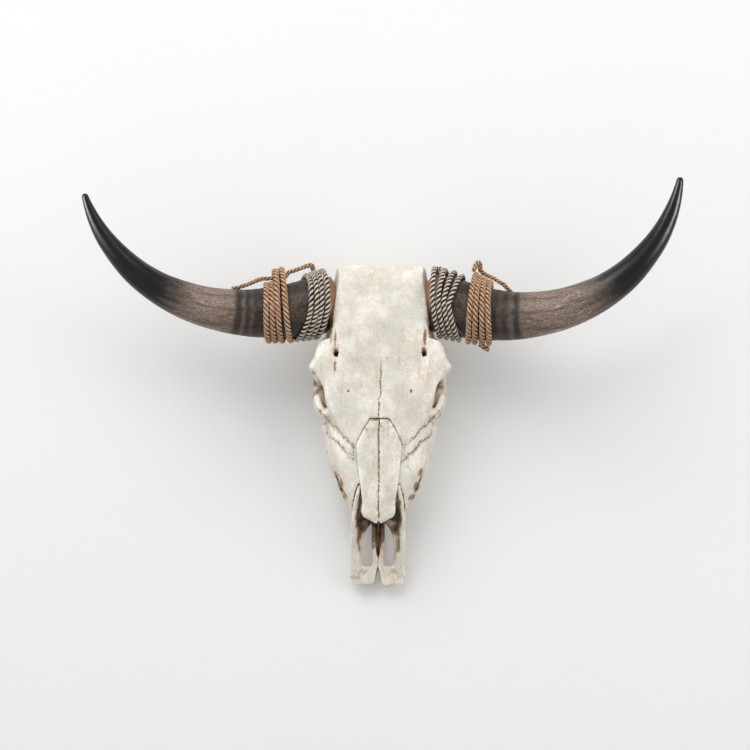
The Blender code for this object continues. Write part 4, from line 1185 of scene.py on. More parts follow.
@dataclass
class Skull:
    """The cranium: its forms as one solid, and the spaces of its bones."""

    step: float = 0.0012  # of the grid that its skin is read from
    low: tuple = (-0.135, -0.010, -0.186)
    high: tuple = (0.135, 0.522, 0.012)
    nasal_gap: float = 0.0002
    tooth_root: float = -0.098
    tooth_groove: float = 0.0016
    nasal_front: float = 0.0995  # where the nasal bones end, beside the midline
    nasal_tip: float = 0.0045  # half width of that end
    nasal_slope: float = 0.52  # how their ends fall back to the sides
    nasal_cleft: float = 0.0040  # how far the ends part at the midline
    nasal_cleft_width: float = 0.0016
    suture: Suture = field(default_factory=Suture)
    blends: Blends = Blends()
    whole: Grid = field(init=False)
    nasals: Grid = field(init=False)
    premaxillae: Grid = field(init=False)
    shade: Grid = field(init=False)
    walls: dict[str, Grid] = field(default_factory=dict)

    def block(self) -> Grid:
        """An empty block of the skull's space."""
        return Grid(self.low, self.high, self.step)

    def cast(self) -> None:
        """Casts the solids that the bones are read from."""
        self.nasals = self.cast_nasals()
        self.premaxillae = self.cast_premaxillae()
        self.whole = self.cast_whole()
        self.shade = self.block()
        inset = np.minimum(self.nasals.values, self.premaxillae.values)
        self.shade.values = np.minimum(self.whole.values, inset)

    def cast_nasals(self) -> Grid:
        """The two nasal bones as one, with a furrow between them."""
        made = self.block()
        made.add(NASAL_BONES, self.blends.nasals)
        x, y, _ = made.everywhere()
        away = np.abs(x)
        front = self.nasal_front + self.nasal_slope * np.maximum(away - self.nasal_tip, 0)
        front = front + self.nasal_cleft * np.exp(-((away / self.nasal_cleft_width) ** 2))
        made.values = smooth_max(made.values, (0.9 * (front - y)).astype(np.float32), self.blends.cut)
        made.take(NASAL_FURROW, self.blends.furrow)
        return made

    def cast_premaxillae(self) -> Grid:
        """Both halves of the muzzle's tip, clear of the nasal bones."""
        made = self.block()
        for side in Side:
            for form in PREMAXILLA:
                made.add(form, self.blends.muzzle, side)
            made.add(PREMAXILLA_LIPS[side], self.blends.fine, side)
            made.add(PALATE_FLANGE, self.blends.flange, side)
            made.add(PALATE_WING, self.blends.wing, side)
            made.take(LIP_HOLLOW, self.blends.lip_hollow, side)
        made.values = np.maximum(made.values, self.nasal_gap - self.nasals.values)
        return made

    def cast_whole(self) -> Grid:
        """All other bones as one solid, with sockets for those two and for the horns."""
        made = self.block()
        for form in MIDLINE_FORMS:
            made.add(form, self.blends.midline)
        for side in Side:
            for form in SIDE_FORMS:
                made.add(form, self.blends.side, side)
        for form in MIDLINE_HOLLOWS:
            made.take(form, self.blends.midline_hollow)
        for side in Side:
            for form in SIDE_HOLLOWS:
                made.take(form, self.blends.side_hollow, side)
            for form in THIN_FORMS:
                made.add(form, self.blends.thin, side)
            for form in FINE_FORMS:
                made.add(form, self.blends.fine, side)
            made.take(CORD_SEAT, self.blends.cord_seat, side)
            for form in FINE_HOLLOWS:
                made.take(form, self.blends.fine_hollow, side)
        for form in FINE_MIDLINE_FORMS:
            made.add(form, self.blends.fine_midline)
        made.take(MIDLINE_DIP, self.blends.dip)
        for side in Side:
            self.add_teeth(made, side)
        made.values = np.maximum(made.values, self.nasal_gap - self.nasals.values)
        made.values = np.maximum(made.values, self.nasal_gap - self.premaxillae.values)
        for horn in HORNS.values():
            made.take(horn.socket(), self.blends.socket)
        _, y, z = made.everywhere()
        floor = -(z * math.cos(REST_PITCH) + y * math.sin(REST_PITCH) + REST_HEIGHT)
        made.values = smooth_max(made.values, floor.astype(np.float32), self.blends.cut)
        return made

    def add_teeth(self, made: Grid, side: Side) -> None:
        """Sets the row of cheek teeth in one side, each with a folded wall and a worn, ridged face."""
        for x, y, half_width, half_length in CHEEK_TEETH:
            floor = -(REST_HEIGHT + y * math.sin(REST_PITCH)) / math.cos(REST_PITCH)
            tooth = ToothForm((x, y), (half_width, half_length), self.tooth_root, floor, self.tooth_groove)
            made.add(tooth, self.blends.tooth, side)

    def pieces_of_whole(self) -> dict[str, Grid]:
        """Parts the whole along its sutures.

        Returns:
            A block of distances for each bone's name.
        """
        made: dict[str, Grid] = {}
        x, y, z = self.whole.everywhere()
        left_over = self.whole.values.copy()
        spaces: dict[str, Array] = {}
        for side in Side:
            u = side.value * x
            spaces["lacrimal_" + side.word] = self.lacrimal_space(u, y, z)
            spaces["zygomatic_" + side.word] = self.zygomatic_space(u, y, z)
            spaces["maxilla_" + side.word] = self.maxilla_space(u, y, z)
        spaces["frontal"] = self.frontal_space(x, y, z)
        spaces["occipital"] = self.occipital_space(x, y, z)
        outside = np.full_like(left_over, -Grid.EMPTY)
        for name, space in spaces.items():
            space = space + 0 * left_over
            made[name] = self.holding(np.maximum(left_over, space + self.suture.gap / 2))
            self.walls[name] = self.holding(np.maximum(outside, space))
            left_over = np.maximum(left_over, self.suture.gap / 2 - space)
            outside = np.maximum(outside, -space)
        made["braincase"] = self.holding(left_over)
        self.walls["braincase"] = self.holding(outside)
        return made

    def holding(self, values: Array) -> Grid:
        """A block of the skull's space that holds the values."""
        made = Grid(self.low, self.low, self.step)
        made.values = values
        return made

    def lacrimal_space(self, u: Array, y: Array, z: Array) -> Array:
        """Distance to the strip between the orbit and the nasal bones."""
        wave = self.suture.wander(u + 0 * z, 1.3)
        upper = y - (0.2235 + (u - 0.041) * 1.02) + wave
        lower = (0.2060 + (u - 0.041) * 0.87) - y + self.suture.wander(u, 4.4)
        wall = np.maximum(upper, lower) * 0.72
        return np.maximum(wall, np.maximum(-0.046 - z, 0.041 - u)).astype(np.float32)

    def zygomatic_space(self, u: Array, y: Array, z: Array) -> Array:
        """Distance to the cheekbone's space, with wandering ends."""
        low_end = 0.262 + self.suture.wander(z, 2.2) - y
        high_end = y - (0.388 + self.suture.wander(z, 5.1))
        places, *walls = np.array(CHEEKBONE_WALLS).T
        inner, top = (np.interp(y.ravel(), places, wall).reshape(1, -1, 1) for wall in walls)
        inner_wall = inner - u + 0.4 * self.suture.wander(y + z, 3.0)
        top_wall = z - top + 0.6 * self.suture.wander(y + u, 0.7)
        return np.maximum(np.maximum(low_end, high_end), np.maximum(inner_wall, top_wall)).astype(np.float32)

    def maxilla_space(self, u: Array, y: Array, z: Array) -> Array:
        """Distance to the upper jaw's space on one side, which runs back under the orbit."""
        slide = 1.4 * np.maximum(-0.040 - z, 0)
        upper = y - (0.167 + 0.9 * u + slide) + self.suture.wander(u + z, 6.0)
        return np.maximum(upper * 0.6, -u).astype(np.float32)

    def frontal_space(self, x: Array, y: Array, z: Array) -> Array:
        """Distance to the roof's space, and to that of the horn cores below it."""
        roof = -0.052 - z + self.suture.wander(y + 0 * x, 0.4) + 0.5 * self.suture.wander(x, 2.9)
        core = np.maximum(0.0765 - np.abs(x), np.hypot(y - 0.4535, z + 0.045) - 0.050)
        return np.maximum(np.minimum(roof, core), 0.150 - y).astype(np.float32)

    def occipital_space(self, x: Array, y: Array, z: Array) -> Array:
        """Distance to the back of the skull's space."""
        return (0.456 + self.suture.wander(x + 0.7 * z, 3.6) - y + 0 * x).astype(np.float32)

    def half(self, made: Grid, side: Side) -> Grid:
        """One side of a block, parted on a midline that wanders a little."""
        x, y, _ = made.everywhere()
        wall = self.suture.gap / 2 - side.value * (x + 0.35 * self.suture.wander(y, 1.9))
        part = self.block()
        part.values = np.maximum(made.values, wall.astype(np.float32))
        return part

    def bone_skin(self, name: str, made: Grid) -> Skin:
        """Reads one bone's skin off its block, and roughens it a little.

        Args:
            name: the bone's name.
            made: its block.

        Returns:
            The bone's mesh in the face frame, with its marks.
        """
        made.values[[0, -1]] = made.values[:, [0, -1]] = made.values[:, :, [0, -1]] = Grid.EMPTY
        used = np.argwhere(made.values < 2 * self.step)
        first, last = np.maximum(used.min(0) - 1, 0), used.max(0) + 2
        part = made.values[tuple(slice(a, b) for a, b in zip(first, last))]
        points, faces = skin_of(part, made.low + first * self.step, self.step)
        skin = Skin(points, faces)
        out = skin.normals()
        bumps = 0.00030 * layered_noise(points, 0.011, 5) + 0.00080 * value_noise(points, 0.042, 7)
        weathered = faded(layered_noise(points, 0.021, 31), 0.0, 0.6)
        bumps += 0.00045 * weathered * layered_noise(points, 0.0042, 9, 2)
        inner = faded(self.whole.read(points), -0.0006, -0.0012)
        near_seam = self.seam(name, points)
        rough = faded(near_seam, 0.006, 0.001) * (0.5 + 0.5 * layered_noise(points, 0.006, 40, 2))
        bumps -= 0.00040 * rough * (1 + layered_noise(points, 0.0033, 42, 2))
        skin.points = points + out * (bumps * (1 - inner))[:, None]
        skin.marks = self.marks(skin.points, out)
        skin.marks["seam"] = np.clip(near_seam, 0, 0.02)
        return skin

    def seam(self, name: str, points: Array) -> Array:
        """How far each point of a bone is from the nearest other bone."""
        if name.startswith("nasal"):
            others = [self.whole.read(points), np.abs(points[:, 0])]
        elif name.startswith("premaxilla"):
            others = [self.whole.read(points), self.nasals.read(points)]
        else:
            others = [-self.walls[name].read(points), self.nasals.read(points), self.premaxillae.read(points)]
        return np.maximum(np.min(others, axis=0), 0)

    def marks(self, points: Array, out: Array) -> dict[str, Array]:
        """What the bone's finish reads: where a point is, how hidden it is from the light round it, which the
        finish paints as shade, and how stained.
        """
        # How hidden: a rough occlusion estimate from the solid a little way out, painted as shade by the
        # finish.
        hidden = np.zeros(len(points))
        for reach, share in ((0.0015, 0.22), (0.004, 0.28), (0.009, 0.28), (0.018, 0.22)):
            hidden += share * np.clip(1 - self.shade.read(points + out * reach) / reach, 0, 1.4)
        return {"place": points, "hidden": np.clip(hidden, 0, 1), "stain": self.stain(points)}

    def stain(self, points: Array) -> Array:
        """How brown each point is, from the places where earth and resin have settled, and from painted shade
        in the nasal cavity.
        """
        folded = points * MM_PER_METRE
        folded[:, 0] = np.abs(folded[:, 0])
        total = np.zeros(len(points))
        for place, spread, depth in STAINS_AND_CAVITY_SHADE:
            off = (((folded - place) / spread) ** 2).sum(1)
            total = np.maximum(total, depth * np.exp(-off))
        return total * (0.75 + 0.5 * value_noise(points, 0.012, 77))

    def build(self, finishes: dict[str, Material]) -> list[Piece]:
        """Makes every bone, in place of the plain one of the same name.

        Args:
            finishes: the material of each slot.

        Returns:
            The bones.
        """
        self.cast()
        parts = self.pieces_of_whole()
        for side in Side:
            parts["nasal_" + side.word] = self.half(self.nasals, side)
            parts["premaxilla_" + side.word] = self.half(self.premaxillae, side)
        made = []
        for name, part in parts.items():
            slot = "muzzle_bone" if name.startswith("premaxilla") else "bone"
            skin = self.bone_skin(name, part)
            made.append(dressed(skin.build("bone_" + name, [finishes[slot]], True), name))
        return made


@dataclass(frozen=True)
class HornSocket(Form):
    """The space of a horn at the skull: its line as a limb, cut flat where the sheath begins."""

    limb: Limb
    start: tuple
    direction: tuple

    def reach(self) -> Array:
        """Its lowest and highest corner."""
        return self.limb.reach()

    def distance(self, x: Array, y: Array, z: Array) -> Array:
        """Distance to the limb's wall or its flat start."""
        (sx, sy, sz), (dx, dy, dz) = self.start, self.direction
        return np.maximum(self.limb.distance(x, y, z), -((x - sx) * dx + (y - sy) * dy + (z - sz) * dz))


@dataclass(frozen=True)
class Horn:
    """A horn sheath. Its line starts across the skull and turns up the more the further out it is."""

    side: Side
    length: float
    start_y: float
    heading: float  # degrees above sideways at the skull, in the face plane
    turn: float  # degrees that the heading gains by the tip
    forward: tuple  # degrees out of the face plane, at the skull and at the tip
    taper: float  # power of the taper
    flare: float  # extra radius at the skull
    radius: float = 0.048
    start_x: float = 0.088
    start_z: float = -0.045
    base: float = 0.010  # where the sheath begins on its line
    turn_power: float = 1.31
    taper_start: float = 0.92
    flare_reach: float = 0.028
    tip_radius: float = 0.0050
    tip_end: float = 0.998  # how far round the tip the sheath is closed with a flat
    line_steps: int = 400
    socket_gap: float = 0.0011
    stations: int = 250
    sides: int = 96
    ring_zone: tuple = (0.020, 0.200)  # where growth rings show
    ring_spacing: float = 0.0105
    ring_height: float = 0.00055
    grain_radius: float = 0.045  # of the cylinder that its grain is laid out on
    neck: tuple = (-0.016, 0.041)  # where the core under the sheath begins, and its radius

    def radius_at(self, places: Array) -> Array:
        """Its mean radius at places along its line."""
        left = 1 - np.minimum(places / self.length, 1) ** self.taper_start
        wide = self.radius * left**self.taper + self.flare * np.exp(-places / self.flare_reach)
        past = np.clip((places - self.length) / self.tip_radius + 1, 0, self.tip_end)
        return np.hypot(wide, self.tip_radius) * np.sqrt(1 - past**2)

    def frames(self, places: Array) -> list[Array]:
        """At each place along the horn: its middle, its direction, and the side towards the poll."""
        s = np.linspace(0, self.length, self.line_steps)
        heading = np.radians(self.heading + self.turn * (s / self.length) ** self.turn_power)
        rise = np.radians(np.interp(s, (0, self.length), self.forward))
        flat = np.cos(rise)
        out = self.side.value
        along = np.stack((out * np.cos(heading) * flat, np.sin(heading) * flat, np.sin(rise)), 1)
        runs = (along[1:] + along[:-1]) / 2 * (s[1] - s[0])
        line = np.vstack(((0, 0, 0), np.cumsum(runs, 0)))
        line += (out * self.start_x, self.start_y, self.start_z)
        poll = np.stack((-out * np.sin(heading), np.cos(heading), 0 * s), 1)
        return [np.stack([np.interp(places, s, v[:, i]) for i in range(3)], 1) for v in (line, along, poll)]

    def around(self, places: Array, angles: Array, distances: Array) -> Array:
        """Points round the horn.

        Args:
            places: along its line.
            angles: in degrees, 0 on its face side, 90 on its poll side, 180 at its back.
            distances: from its line.

        Returns:
            One point per row.
        """
        middle, along, poll = self.frames(places)
        middle = middle + along * np.minimum(places, 0)[:, None]
        face = self.side.value * np.cross(along, poll)
        return middle + np.asarray(distances)[:, None] * turned(np.radians(angles), face, poll)

    def socket(self) -> HornSocket:
        """The space that the skull leaves free for it."""
        places = np.linspace(self.base, self.base + 0.09, 7)
        middle, along, _ = self.frames(places)
        radii = self.radius_at(places) + self.socket_gap
        start = middle[0] - self.socket_gap * along[0]
        behind = start - 0.05 * along[0]
        points = ((*behind, radii[0]), *((*point, radius) for point, radius in zip(middle, radii)))
        return HornSocket(Limb(points), tuple(start), tuple(along[0]))

    def unrolled(self, places: Array, turns: Array) -> Array:
        """Points on a straight cylinder, for the grain's noise to be read at."""
        return np.stack((self.grain_radius * np.cos(turns), self.grain_radius * np.sin(turns), places), 1)

    def relief(self, places: Array, turns: Array) -> Array:
        """How far the sheath stands over its mean radius: growth rings, ripples and long fibres."""
        around = self.unrolled(places, turns)
        low, high = self.ring_zone
        shown = faded(places, low - 0.015, low + 0.01) * faded(places, high, high - 0.09)
        drift = 0.004 * value_noise(around, 0.05, 3) + 0.010 * value_noise(around * (0, 0, 1), 0.06, 8)
        phase = 2 * math.pi * (places + drift) / self.ring_spacing
        rings = self.ring_height * shown * (np.abs(np.sin(phase / 2)) - 0.6)
        ripples = 0.00060 * value_noise(around, 0.040, 12) + 0.00025 * layered_noise(around, 0.016, 14, 2)
        fibres = 0.00012 * value_noise(around * (1, 1, 0.05), 0.0019, 21)
        fine = faded(places, self.length, self.length - 0.15)
        return rings + (0.35 + 0.65 * fine) * ripples + fine * fibres

    def skin(self) -> Skin:
        """The sheath's mesh, closed at the skull and rounded at the tip."""
        spread = np.linspace(0, 1, self.stations)
        places = self.base + (self.length - self.base) * np.sin(spread * math.pi / 2) ** 0.92
        radii = self.radius_at(places)
        start, thin = self.neck
        places = np.concatenate(((start, start, self.base - 0.004, self.base, self.base), places))
        radii = np.concatenate(((thin - 0.003, thin, thin, radii[0] - 0.004, radii[0] - 0.001), radii))
        turns = full_turn(self.sides)
        place, turn = (grid.ravel() for grid in np.meshgrid(places, turns, indexing="ij"))
        height = np.repeat(radii, self.sides)
        bump = self.relief(place, turn) * np.minimum(height / 0.012, 1)
        points = self.around(place, np.degrees(turn), height + bump)
        faces = wall_faces(len(places), self.sides)
        points, caps = with_caps(points, len(places), self.sides)
        grain = np.vstack((self.unrolled(place, turn), (0, 0, start), (0, 0, self.length)))
        along = np.concatenate((place, (start, self.length)))
        return Skin(points, np.vstack((faces, caps)), {"grain": grain, "along": along})

    def build(self, material: Material) -> Piece:
        """Makes the horn, in place of the plain one."""
        skin = self.skin()
        piece = skin.build(f"sheath_{self.side.word}", [material], False)
        return dressed(piece, f"horn_{self.side.word}")


def full_turn(count: int) -> Array:
    """Angles in even steps round a circle."""
    return np.linspace(0, 2 * math.pi, count, endpoint=False)


def wall_faces(rings: int, sides: int) -> Array:
    """Faces between rings of points, given how many rings there are and how many points each has."""
    ring, step = (grid.ravel() for grid in np.meshgrid(np.arange(rings - 1), np.arange(sides), indexing="ij"))
    after = (step + 1) % sides
    low, high = ring * sides, (ring + 1) * sides
    return np.stack((low + step, low + after, high + after, high + step), 1)


def with_caps(points: Array, rings: int, sides: int) -> tuple[Array, Array]:
    """Closes both ends of a tube with a fan.

    Args:
        points: the tube's points, ring by ring.
        rings: how many rings there are.
        sides: how many points each has.

    Returns:
        The points with the two middles added, and the fans' faces.
    """
    first, last = points[:sides], points[(rings - 1) * sides :]
    middles = np.stack((first.mean(0), last.mean(0)))
    step = np.arange(sides)
    after = (step + 1) % sides
    count, top = len(points), (rings - 1) * sides
    start = np.stack((np.full(sides, count), after, step, step), 1)
    end = np.stack((np.full(sides, count + 1), top + step, top + after, top + after), 1)
    return np.vstack((points, middles)), np.vstack((start, end))


def unit(vectors: Array) -> Array:
    """The vectors at length one."""
    return vectors / np.maximum(np.linalg.norm(vectors, axis=1, keepdims=True), TINY)


def turned(turn: Array, first: Array, second: Array) -> Array:
    """The ways off at angles from first towards second."""
    return np.cos(turn)[:, None] * first + np.sin(turn)[:, None] * second


def sideways(along: Array, out: Array) -> tuple[Array, Array]:
    """Two directions square to along and to each other, the first as near to out as can be."""
    first = unit(out - along * (out * along).sum(1, keepdims=True))
    return first, np.cross(along, first)


def smooth_route(points: Array, step: float) -> Array:
    """A smooth curve through points, read every step."""
    points = np.asarray(points, float)
    before = np.vstack((2 * points[0] - points[1], points, 2 * points[-1] - points[-2]))
    made = []
    for i in range(len(points) - 1):
        a, b, c, d = before[i : i + 4]
        t = np.linspace(0, 1, 24, endpoint=False)[:, None]
        square, cube = 2 * a - 5 * b + 4 * c - d, 3 * b - a - 3 * c + d
        made.append(0.5 * (2 * b + (c - a) * t + square * t**2 + cube * t**3))
    line = np.vstack((*made, points[-1:]))
    return spaced(line, step)


def run_along(line: Array) -> Array:
    """How far each point of a line is from its start, along it."""
    return np.concatenate(((0,), np.cumsum(np.linalg.norm(np.diff(line[:, :3], axis=0), axis=1))))


def spaced(line: Array, step: float) -> Array:
    """The same line with its points a step apart."""
    runs = run_along(line)
    at = np.linspace(0, runs[-1], max(4, round(runs[-1] / step)))
    return np.stack([np.interp(at, runs, line[:, i]) for i in range(line.shape[1])], 1)


@dataclass(frozen=True)
class Rope:
    """A laid rope: strands that wind round each other."""

    diameter: float
    strands: int
    lay: float  # length of one turn of a strand, in diameters
    shares: tuple  # the radius of each strand in turn, in rope diameters
    colours: tuple = (0,)  # material of each strand in turn
    sides: int = 14
    hand: int = 1  # 1 where the strands of an upright rope rise to the right, -1 to the left
    step: float = 0.0012
    fuzz: float = 0.0  # loose fibres per metre
    fibre: float = 0.00007  # a loose fibre's radius

    def skin(self, line: Array, out: Array, seed: int, size: Array | float = 1.0) -> Skin:
        """Lays the strands along a line.

        Args:
            line: the rope's middle, a point every step or so.
            out: the way off what it lies on, at each point.
            seed: picks the strands' starting turn and the fibres.
            size: the rope's thickness at each point, as a share of its diameter.

        Returns:
            The strands' mesh, closed at both ends.
        """
        along = unit(np.gradient(line, axis=0))
        first, second = sideways(along, out)
        runs = run_along(line)
        size = np.broadcast_to(size, len(line)).astype(float)
        total = None
        for strand in range(self.strands):
            share = self.shares[strand % len(self.shares)]
            wind = runs / (self.lay * self.diameter) + 0.16 * value_noise(line, 0.030, seed)
            turn = self.hand * 2 * math.pi * (wind + strand / self.strands + 0.13 * seed)
            away = turned(turn, first, second)
            wobble = 1 + 0.07 * value_noise(line + strand, 0.006, seed + strand)
            offset = (0.5 - max(self.shares)) * self.diameter * size * wobble
            middle = line + offset[:, None] * away
            radii = share * self.diameter * size * (1 + 0.10 * value_noise(line - strand, 0.009, seed))
            ends = np.minimum(np.arange(len(line)), np.arange(len(line))[::-1]) / 2.0
            radii = radii * np.sqrt(np.clip(1 - (1 - np.minimum(ends, 1)) ** 2, 0.05, 1))
            piece = self.strand(middle, away, radii, runs, strand)
            total = piece if total is None else total.joined(piece)
        if self.fuzz:
            total = total.joined(self.fibres(line, along, first, second, size, seed))
        return total

    def strand(self, middle: Array, away: Array, radii: Array, runs: Array, number: int) -> Skin:
        """One strand as a tube, with its turn and run marked for the yarn's pattern."""
        along = unit(np.gradient(middle, axis=0))
        first, second = sideways(along, away)
        turns = full_turn(self.sides)
        ring = turned(turns, first[:, None], second[:, None])
        points = (middle[:, None] + radii[:, None, None] * ring).reshape(-1, 3)
        points, caps = with_caps(points, len(middle), self.sides)
        mark = np.zeros((len(middle), self.sides, 3))
        mark[..., 0], mark[..., 1] = np.cos(turns), np.sin(turns)
        mark[..., 2] = runs[:, None]
        mark = np.vstack((mark.reshape(-1, 3), (1, 0, runs[0]), (1, 0, runs[-1])))
        faces = np.vstack((wall_faces(len(middle), self.sides), caps))
        slots = np.full(len(faces), self.colours[number % len(self.colours)])
        return Skin(points, faces, {"yarn": mark}, slots)

    def fibres(self, line: Array, along: Array, first: Array, second: Array, size: Array, seed: int) -> Skin:
        """Loose fibres that stand off the rope, each a thin three-sided tube that tapers to a point."""
        pick = np.random.default_rng(seed)
        length = len(line) * self.step
        count = max(1, int(self.fuzz * length))
        at = pick.integers(2, len(line) - 2, count)
        turn = pick.uniform(0, 2 * math.pi, count)
        away = turned(turn, first[at], second[at])
        drift = pick.normal(0, 1, (count, 3))
        ahead = along[at] * pick.choice((-1, 1), (count, 1))
        lean = unit(away * pick.uniform(0.25, 1.0, (count, 1)) + ahead + 0.3 * drift)
        bend = unit(away + 0.9 * pick.normal(0, 1, (count, 3)))
        reach = pick.gamma(2.2, 0.0013, count)[:, None]
        start = line[at] + away * (0.46 * self.diameter * size[at])[:, None]
        knots = np.linspace(0, 1, 5)
        run = knots[None, :, None]
        paths = start[:, None] + reach[:, None] * (run * lean[:, None] + 0.5 * run**2 * bend[:, None])
        across = unit(np.cross(lean, bend))
        other = unit(np.cross(lean, across))
        ring = turned(full_turn(FIBRE_SIDES), across[:, None], other[:, None])
        thin = self.fibre * (1 - 0.85 * knots)
        points = (paths[:, :, None] + thin[None, :, None, None] * ring[:, None]).reshape(-1, 3)
        base = wall_faces(len(knots), FIBRE_SIDES)
        faces = (base[None] + (np.arange(count) * len(knots) * FIBRE_SIDES)[:, None, None]).reshape(-1, 4)
        mark = np.zeros((len(points), 3))
        mark[:, 2] = np.repeat(at * self.step, len(knots) * FIBRE_SIDES)
        return Skin(points, faces, {"yarn": mark}, np.zeros(len(faces), int))


def route_skin(horn: Horn, rope: Rope, route: tuple, seed: int) -> Skin:
    """Lays a rope along a route on a horn.

    Args:
        horn: the horn.
        rope: the rope.
        route: points, each (place along the horn, angle round it, distance, thickness).
        seed: picks the strands' starting turn and the fibres.

    Returns:
        The rope's mesh.
    """
    places, angles, distances, thickness = np.array(route).T
    points = horn.around(places, angles, distances)
    away = points - horn.around(places, angles, 0 * distances)
    both = smooth_route(np.hstack((points, away, thickness[:, None])), rope.step)
    return rope.skin(both[:, :3], both[:, 3:6], seed, both[:, 6])


@dataclass(frozen=True)
class Wrap:
    """Rope wound round a horn from its back: where the turns lie, from the skull outwards."""

    node: str
    horn: Side
    rope: Rope
    start: float  # of the winding along the horn
    slant: float  # how much further out the turns lie on the muzzle side than on the poll side
    face_out: float  # and on the face side than midway between those
    spacing: float = 1.06  # from turn to turn, in rope diameters
    poll_spread: float = 0.0  # how much wider the turns lie apart on the poll side
    muzzle_out: float = 0.0  # how much further out they lie where they face the muzzle
    first_gap: float = 0.0  # room between the first turn and the second
    lifts: tuple = ()  # (turn, height) of turns that rise over what runs under them, or sink under 0
    turns: float = 4.0
    gap: float = 0.0004  # between the rope and the horn
    lift_angle: float = 96.0  # where the tail runs, round the horn
    lift_spread: float = 34.0  # degrees over which a turn rises to pass over it
    stubs: tuple = ()  # short ends of it that stick out, each a route as a Tail has
    swell: float = 0.22  # how much thicker a lifted turn is at its top
    unevenness: float = 0.0006  # how far the turns stray

    def build(self, materials: list[Material], seed: int) -> Piece:
        """Makes the winding, in place of the plain one."""
        horn = HORNS[self.horn]
        turn = np.linspace(0, self.turns, int(self.turns * 300))
        angle = 180 + 360 * turn
        across, out = np.cos(np.radians(angle)), np.sin(np.radians(angle))
        pitch = self.spacing * self.rope.diameter
        places = self.start + pitch * turn - self.slant / 2 * out + self.face_out * across
        places += self.poll_spread * turn * np.maximum(out, 0)
        places += self.muzzle_out * np.maximum(-out, 0) ** 2
        places += self.first_gap * np.interp(turn, (0.7, 1.3), (0, 1))
        places += self.unevenness * value_noise(turn[:, None] * (2.1, 0, 0), 1.0, seed)
        radii = horn.radius_at(np.maximum(places, 0)) + self.rope.diameter / 2 + self.gap
        size = np.ones_like(turn)
        for over, height in self.lifts:
            off = (angle - 360 * (over + 1) - self.lift_angle) / self.lift_spread
            radii += height * np.exp(-(off**2))
            size += self.swell * np.exp(-((2 * off) ** 2))
        line = horn.around(places, angle, radii)
        away = line - horn.around(places, angle, 0 * radii)
        both = spaced(np.hstack((line, away, size[:, None])), self.rope.step)
        skin = self.rope.skin(both[:, :3], both[:, 3:6], seed, both[:, 6])
        for number, stub in enumerate(self.stubs):
            skin = skin.joined(route_skin(horn, self.rope, stub, seed + 20 + number))
        piece = skin.build(self.node + "_rope", materials, False)
        return dressed(piece, self.node)


@dataclass(frozen=True)
class Tail:
    """A loose end of the rope, along points (place along the horn, angle round it, distance, thickness)."""

    node: str
    horn: Side
    rope: Rope
    route: tuple

    def build(self, materials: list[Material], seed: int) -> Piece:
        """Makes the loose end, in place of the plain one."""
        skin = route_skin(HORNS[self.horn], self.rope, self.route, seed)
        return dressed(skin.build(self.node + "_rope", materials, False), self.node)


BONE = BoneFinish("Weathered bone")
MUZZLE_BONE = BoneFinish("Muzzle bone", ivory=(0.74, 0.68, 0.56, 1), hollow_grime_and_shade=1.15)
LEFT_SHEATH = HornFinish(
    "Left horn sheath",
    (0.100, 0.180, 0.205, 0.285),
    ((0.118, 0.006), (0.133, 0.0045), (0.148, 0.006)),
    (0.200, 0.250),
)
RIGHT_SHEATH = HornFinish(
    "Right horn sheath",
    (0.100, 0.175, 0.225, 0.320),
    ((0.106, 0.004), (0.122, 0.0045), (0.140, 0.005)),
    (0.180, 0.290),
)
CREAM_CORD = CordFinish("Cream cord", (0.95, 0.80, 0.64, 1), (1.0, 0.92, 0.80, 1), (0.05, 0.026, 0.015, 1))
BLACK_CORD = CordFinish(
    "Black cord", (0.018, 0.012, 0.009, 1), (0.050, 0.036, 0.028, 1), (0.005, 0.0040, 0.0035, 1), 0.0
)
JUTE_CORD = CordFinish("Jute", (0.78, 0.42, 0.225, 1), (0.98, 0.70, 0.46, 1), (0.055, 0.019, 0.008, 1))
HORNS = {
    Side.LEFT: Horn(Side.LEFT, 0.4755, 0.454, -14.2, 89.5, (9.0, 14.0), 0.68, 0.000),
    Side.RIGHT: Horn(Side.RIGHT, 0.5100, 0.458, -20.4, 104.2, (10.0, 15.0), 0.65, 0.003, turn_power=1.20),
}
ACCENT_ROPE = Rope(0.0086, 4, 1.9, (0.240, 0.195), colours=(0, 1), sides=12, hand=1)
JUTE_ROPE = Rope(0.0094, 3, 2.45, (0.232,), fuzz=900.0, hand=-1)
TAIL_ROPE = Rope(0.0070, 3, 2.7, (0.232,), fuzz=900.0, hand=-1)
WRAPS = (
    Wrap("accent_cord_left", Side.LEFT, ACCENT_ROPE, 0.0031, 0.0296, -0.0029, muzzle_out=0.0078),
    Wrap(
        "accent_cord_right", Side.RIGHT, ACCENT_ROPE, -0.0034, 0.0540, 0.0028,
        poll_spread=0.0074, lifts=((0, -0.0085), (1, -0.0045)), swell=0.0,
        stubs=(
            ((-0.004, 80, 0.0505, 0.95), (-0.010, 88, 0.0515, 1.0), (-0.016, 97, 0.0505, 0.95)),
            (
                (0.036, 348, 0.0500, 0.34), (0.045, 330, 0.0485, 0.30),
                (0.053, 314, 0.0475, 0.26), (0.060, 301, 0.0468, 0.20),
            ),
        ),
    ),
    Wrap(
        "jute_wrap_left", Side.LEFT, JUTE_ROPE, 0.0601, 0.0060, 0.0080,
        spacing=1.03, first_gap=0.0032, lifts=((0, 0.0190), (1, 0.0188)),
    ),
    Wrap(
        "jute_wrap_right", Side.RIGHT, JUTE_ROPE, 0.0561, 0.0154, 0.0053,
        lifts=((0, 0.0100), (1, 0.0084), (2, 0.0066), (3, 0.0046)), swell=0.0,
        stubs=(((0.082, 262, 0.0500, 0.9), (0.091, 264, 0.0545, 0.95), (0.097, 262, 0.0570, 0.9)),),
    ),
)
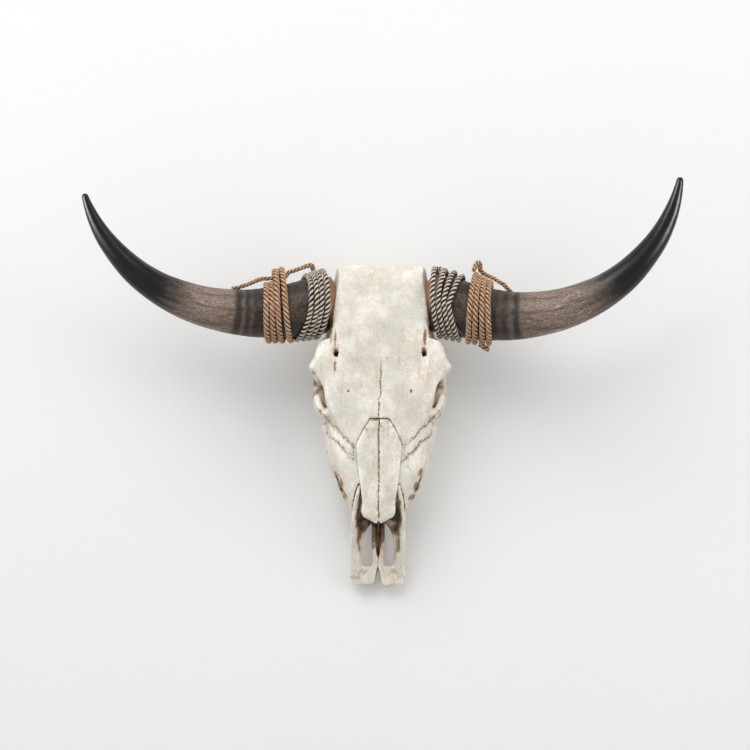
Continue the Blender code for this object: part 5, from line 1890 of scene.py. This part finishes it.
LEFT_ROUTE = (
    (0.158, 112, 0.0400, 1.0), (0.149, 106, 0.0405, 1.0), (0.128, 101, 0.0475, 1.0), (0.106, 98, 0.0550, 1.0),
    (0.092, 97, 0.0556, 1.0), (0.080, 96, 0.0556, 1.0), (0.070, 96, 0.0556, 1.0), (0.058, 96, 0.0556, 1.0),
    (0.052, 95, 0.0615, 1.0), (0.040, 94, 0.0630, 1.0), (0.028, 93, 0.0645, 1.0), (0.019, 93, 0.0660, 1.1),
    (0.011, 95, 0.0666, 1.2), (0.006, 101, 0.0660, 1.25), (0.004, 112, 0.0640, 1.2),
)
RIGHT_ROUTE = (
    (0.0505, 84, 0.0640, 1.1), (0.0512, 86, 0.0700, 1.2), (0.0525, 88, 0.0765, 1.2),
    (0.0555, 91, 0.0800, 1.2), (0.0588, 94, 0.0765, 1.2), (0.0602, 98, 0.0705, 1.2),
    (0.0640, 101, 0.0675, 1.1), (0.0710, 103, 0.0655, 1.0), (0.079, 104, 0.0635, 1.0),
    (0.090, 104, 0.0605, 1.0), (0.102, 103, 0.0550, 1.0), (0.111, 102, 0.0510, 1.0),
    (0.120, 112, 0.0450, 1.0), (0.126, 122, 0.0440, 1.0),
)
TAILS = (
    Tail("jute_tail_left", Side.LEFT, TAIL_ROPE, LEFT_ROUTE),
    Tail("jute_loop_right", Side.RIGHT, TAIL_ROPE, RIGHT_ROUTE),
)


def main() -> None:
    """Dresses the skull, its horns and its ropes, and sets up the picture."""
    logging.basicConfig(level=logging.INFO, format="%(message)s")
    effects = Effects()
    Studio().build()
    finishes = {"bone": BONE.material(effects), "muzzle_bone": MUZZLE_BONE.material(effects)}
    Skull().build(finishes)
    for side, finish in ((Side.LEFT, LEFT_SHEATH), (Side.RIGHT, RIGHT_SHEATH)):
        HORNS[side].build(finish.material(effects))
    accent = [CREAM_CORD.material(effects), BLACK_CORD.material(effects)]
    cords = {"accent": accent, "jute": [JUTE_CORD.material(effects)]}
    for seed, piece in enumerate((*WRAPS, *TAILS)):
        piece.build(cords[piece.node.split("_")[0]], seed)


if __name__ == "__main__":
    main()
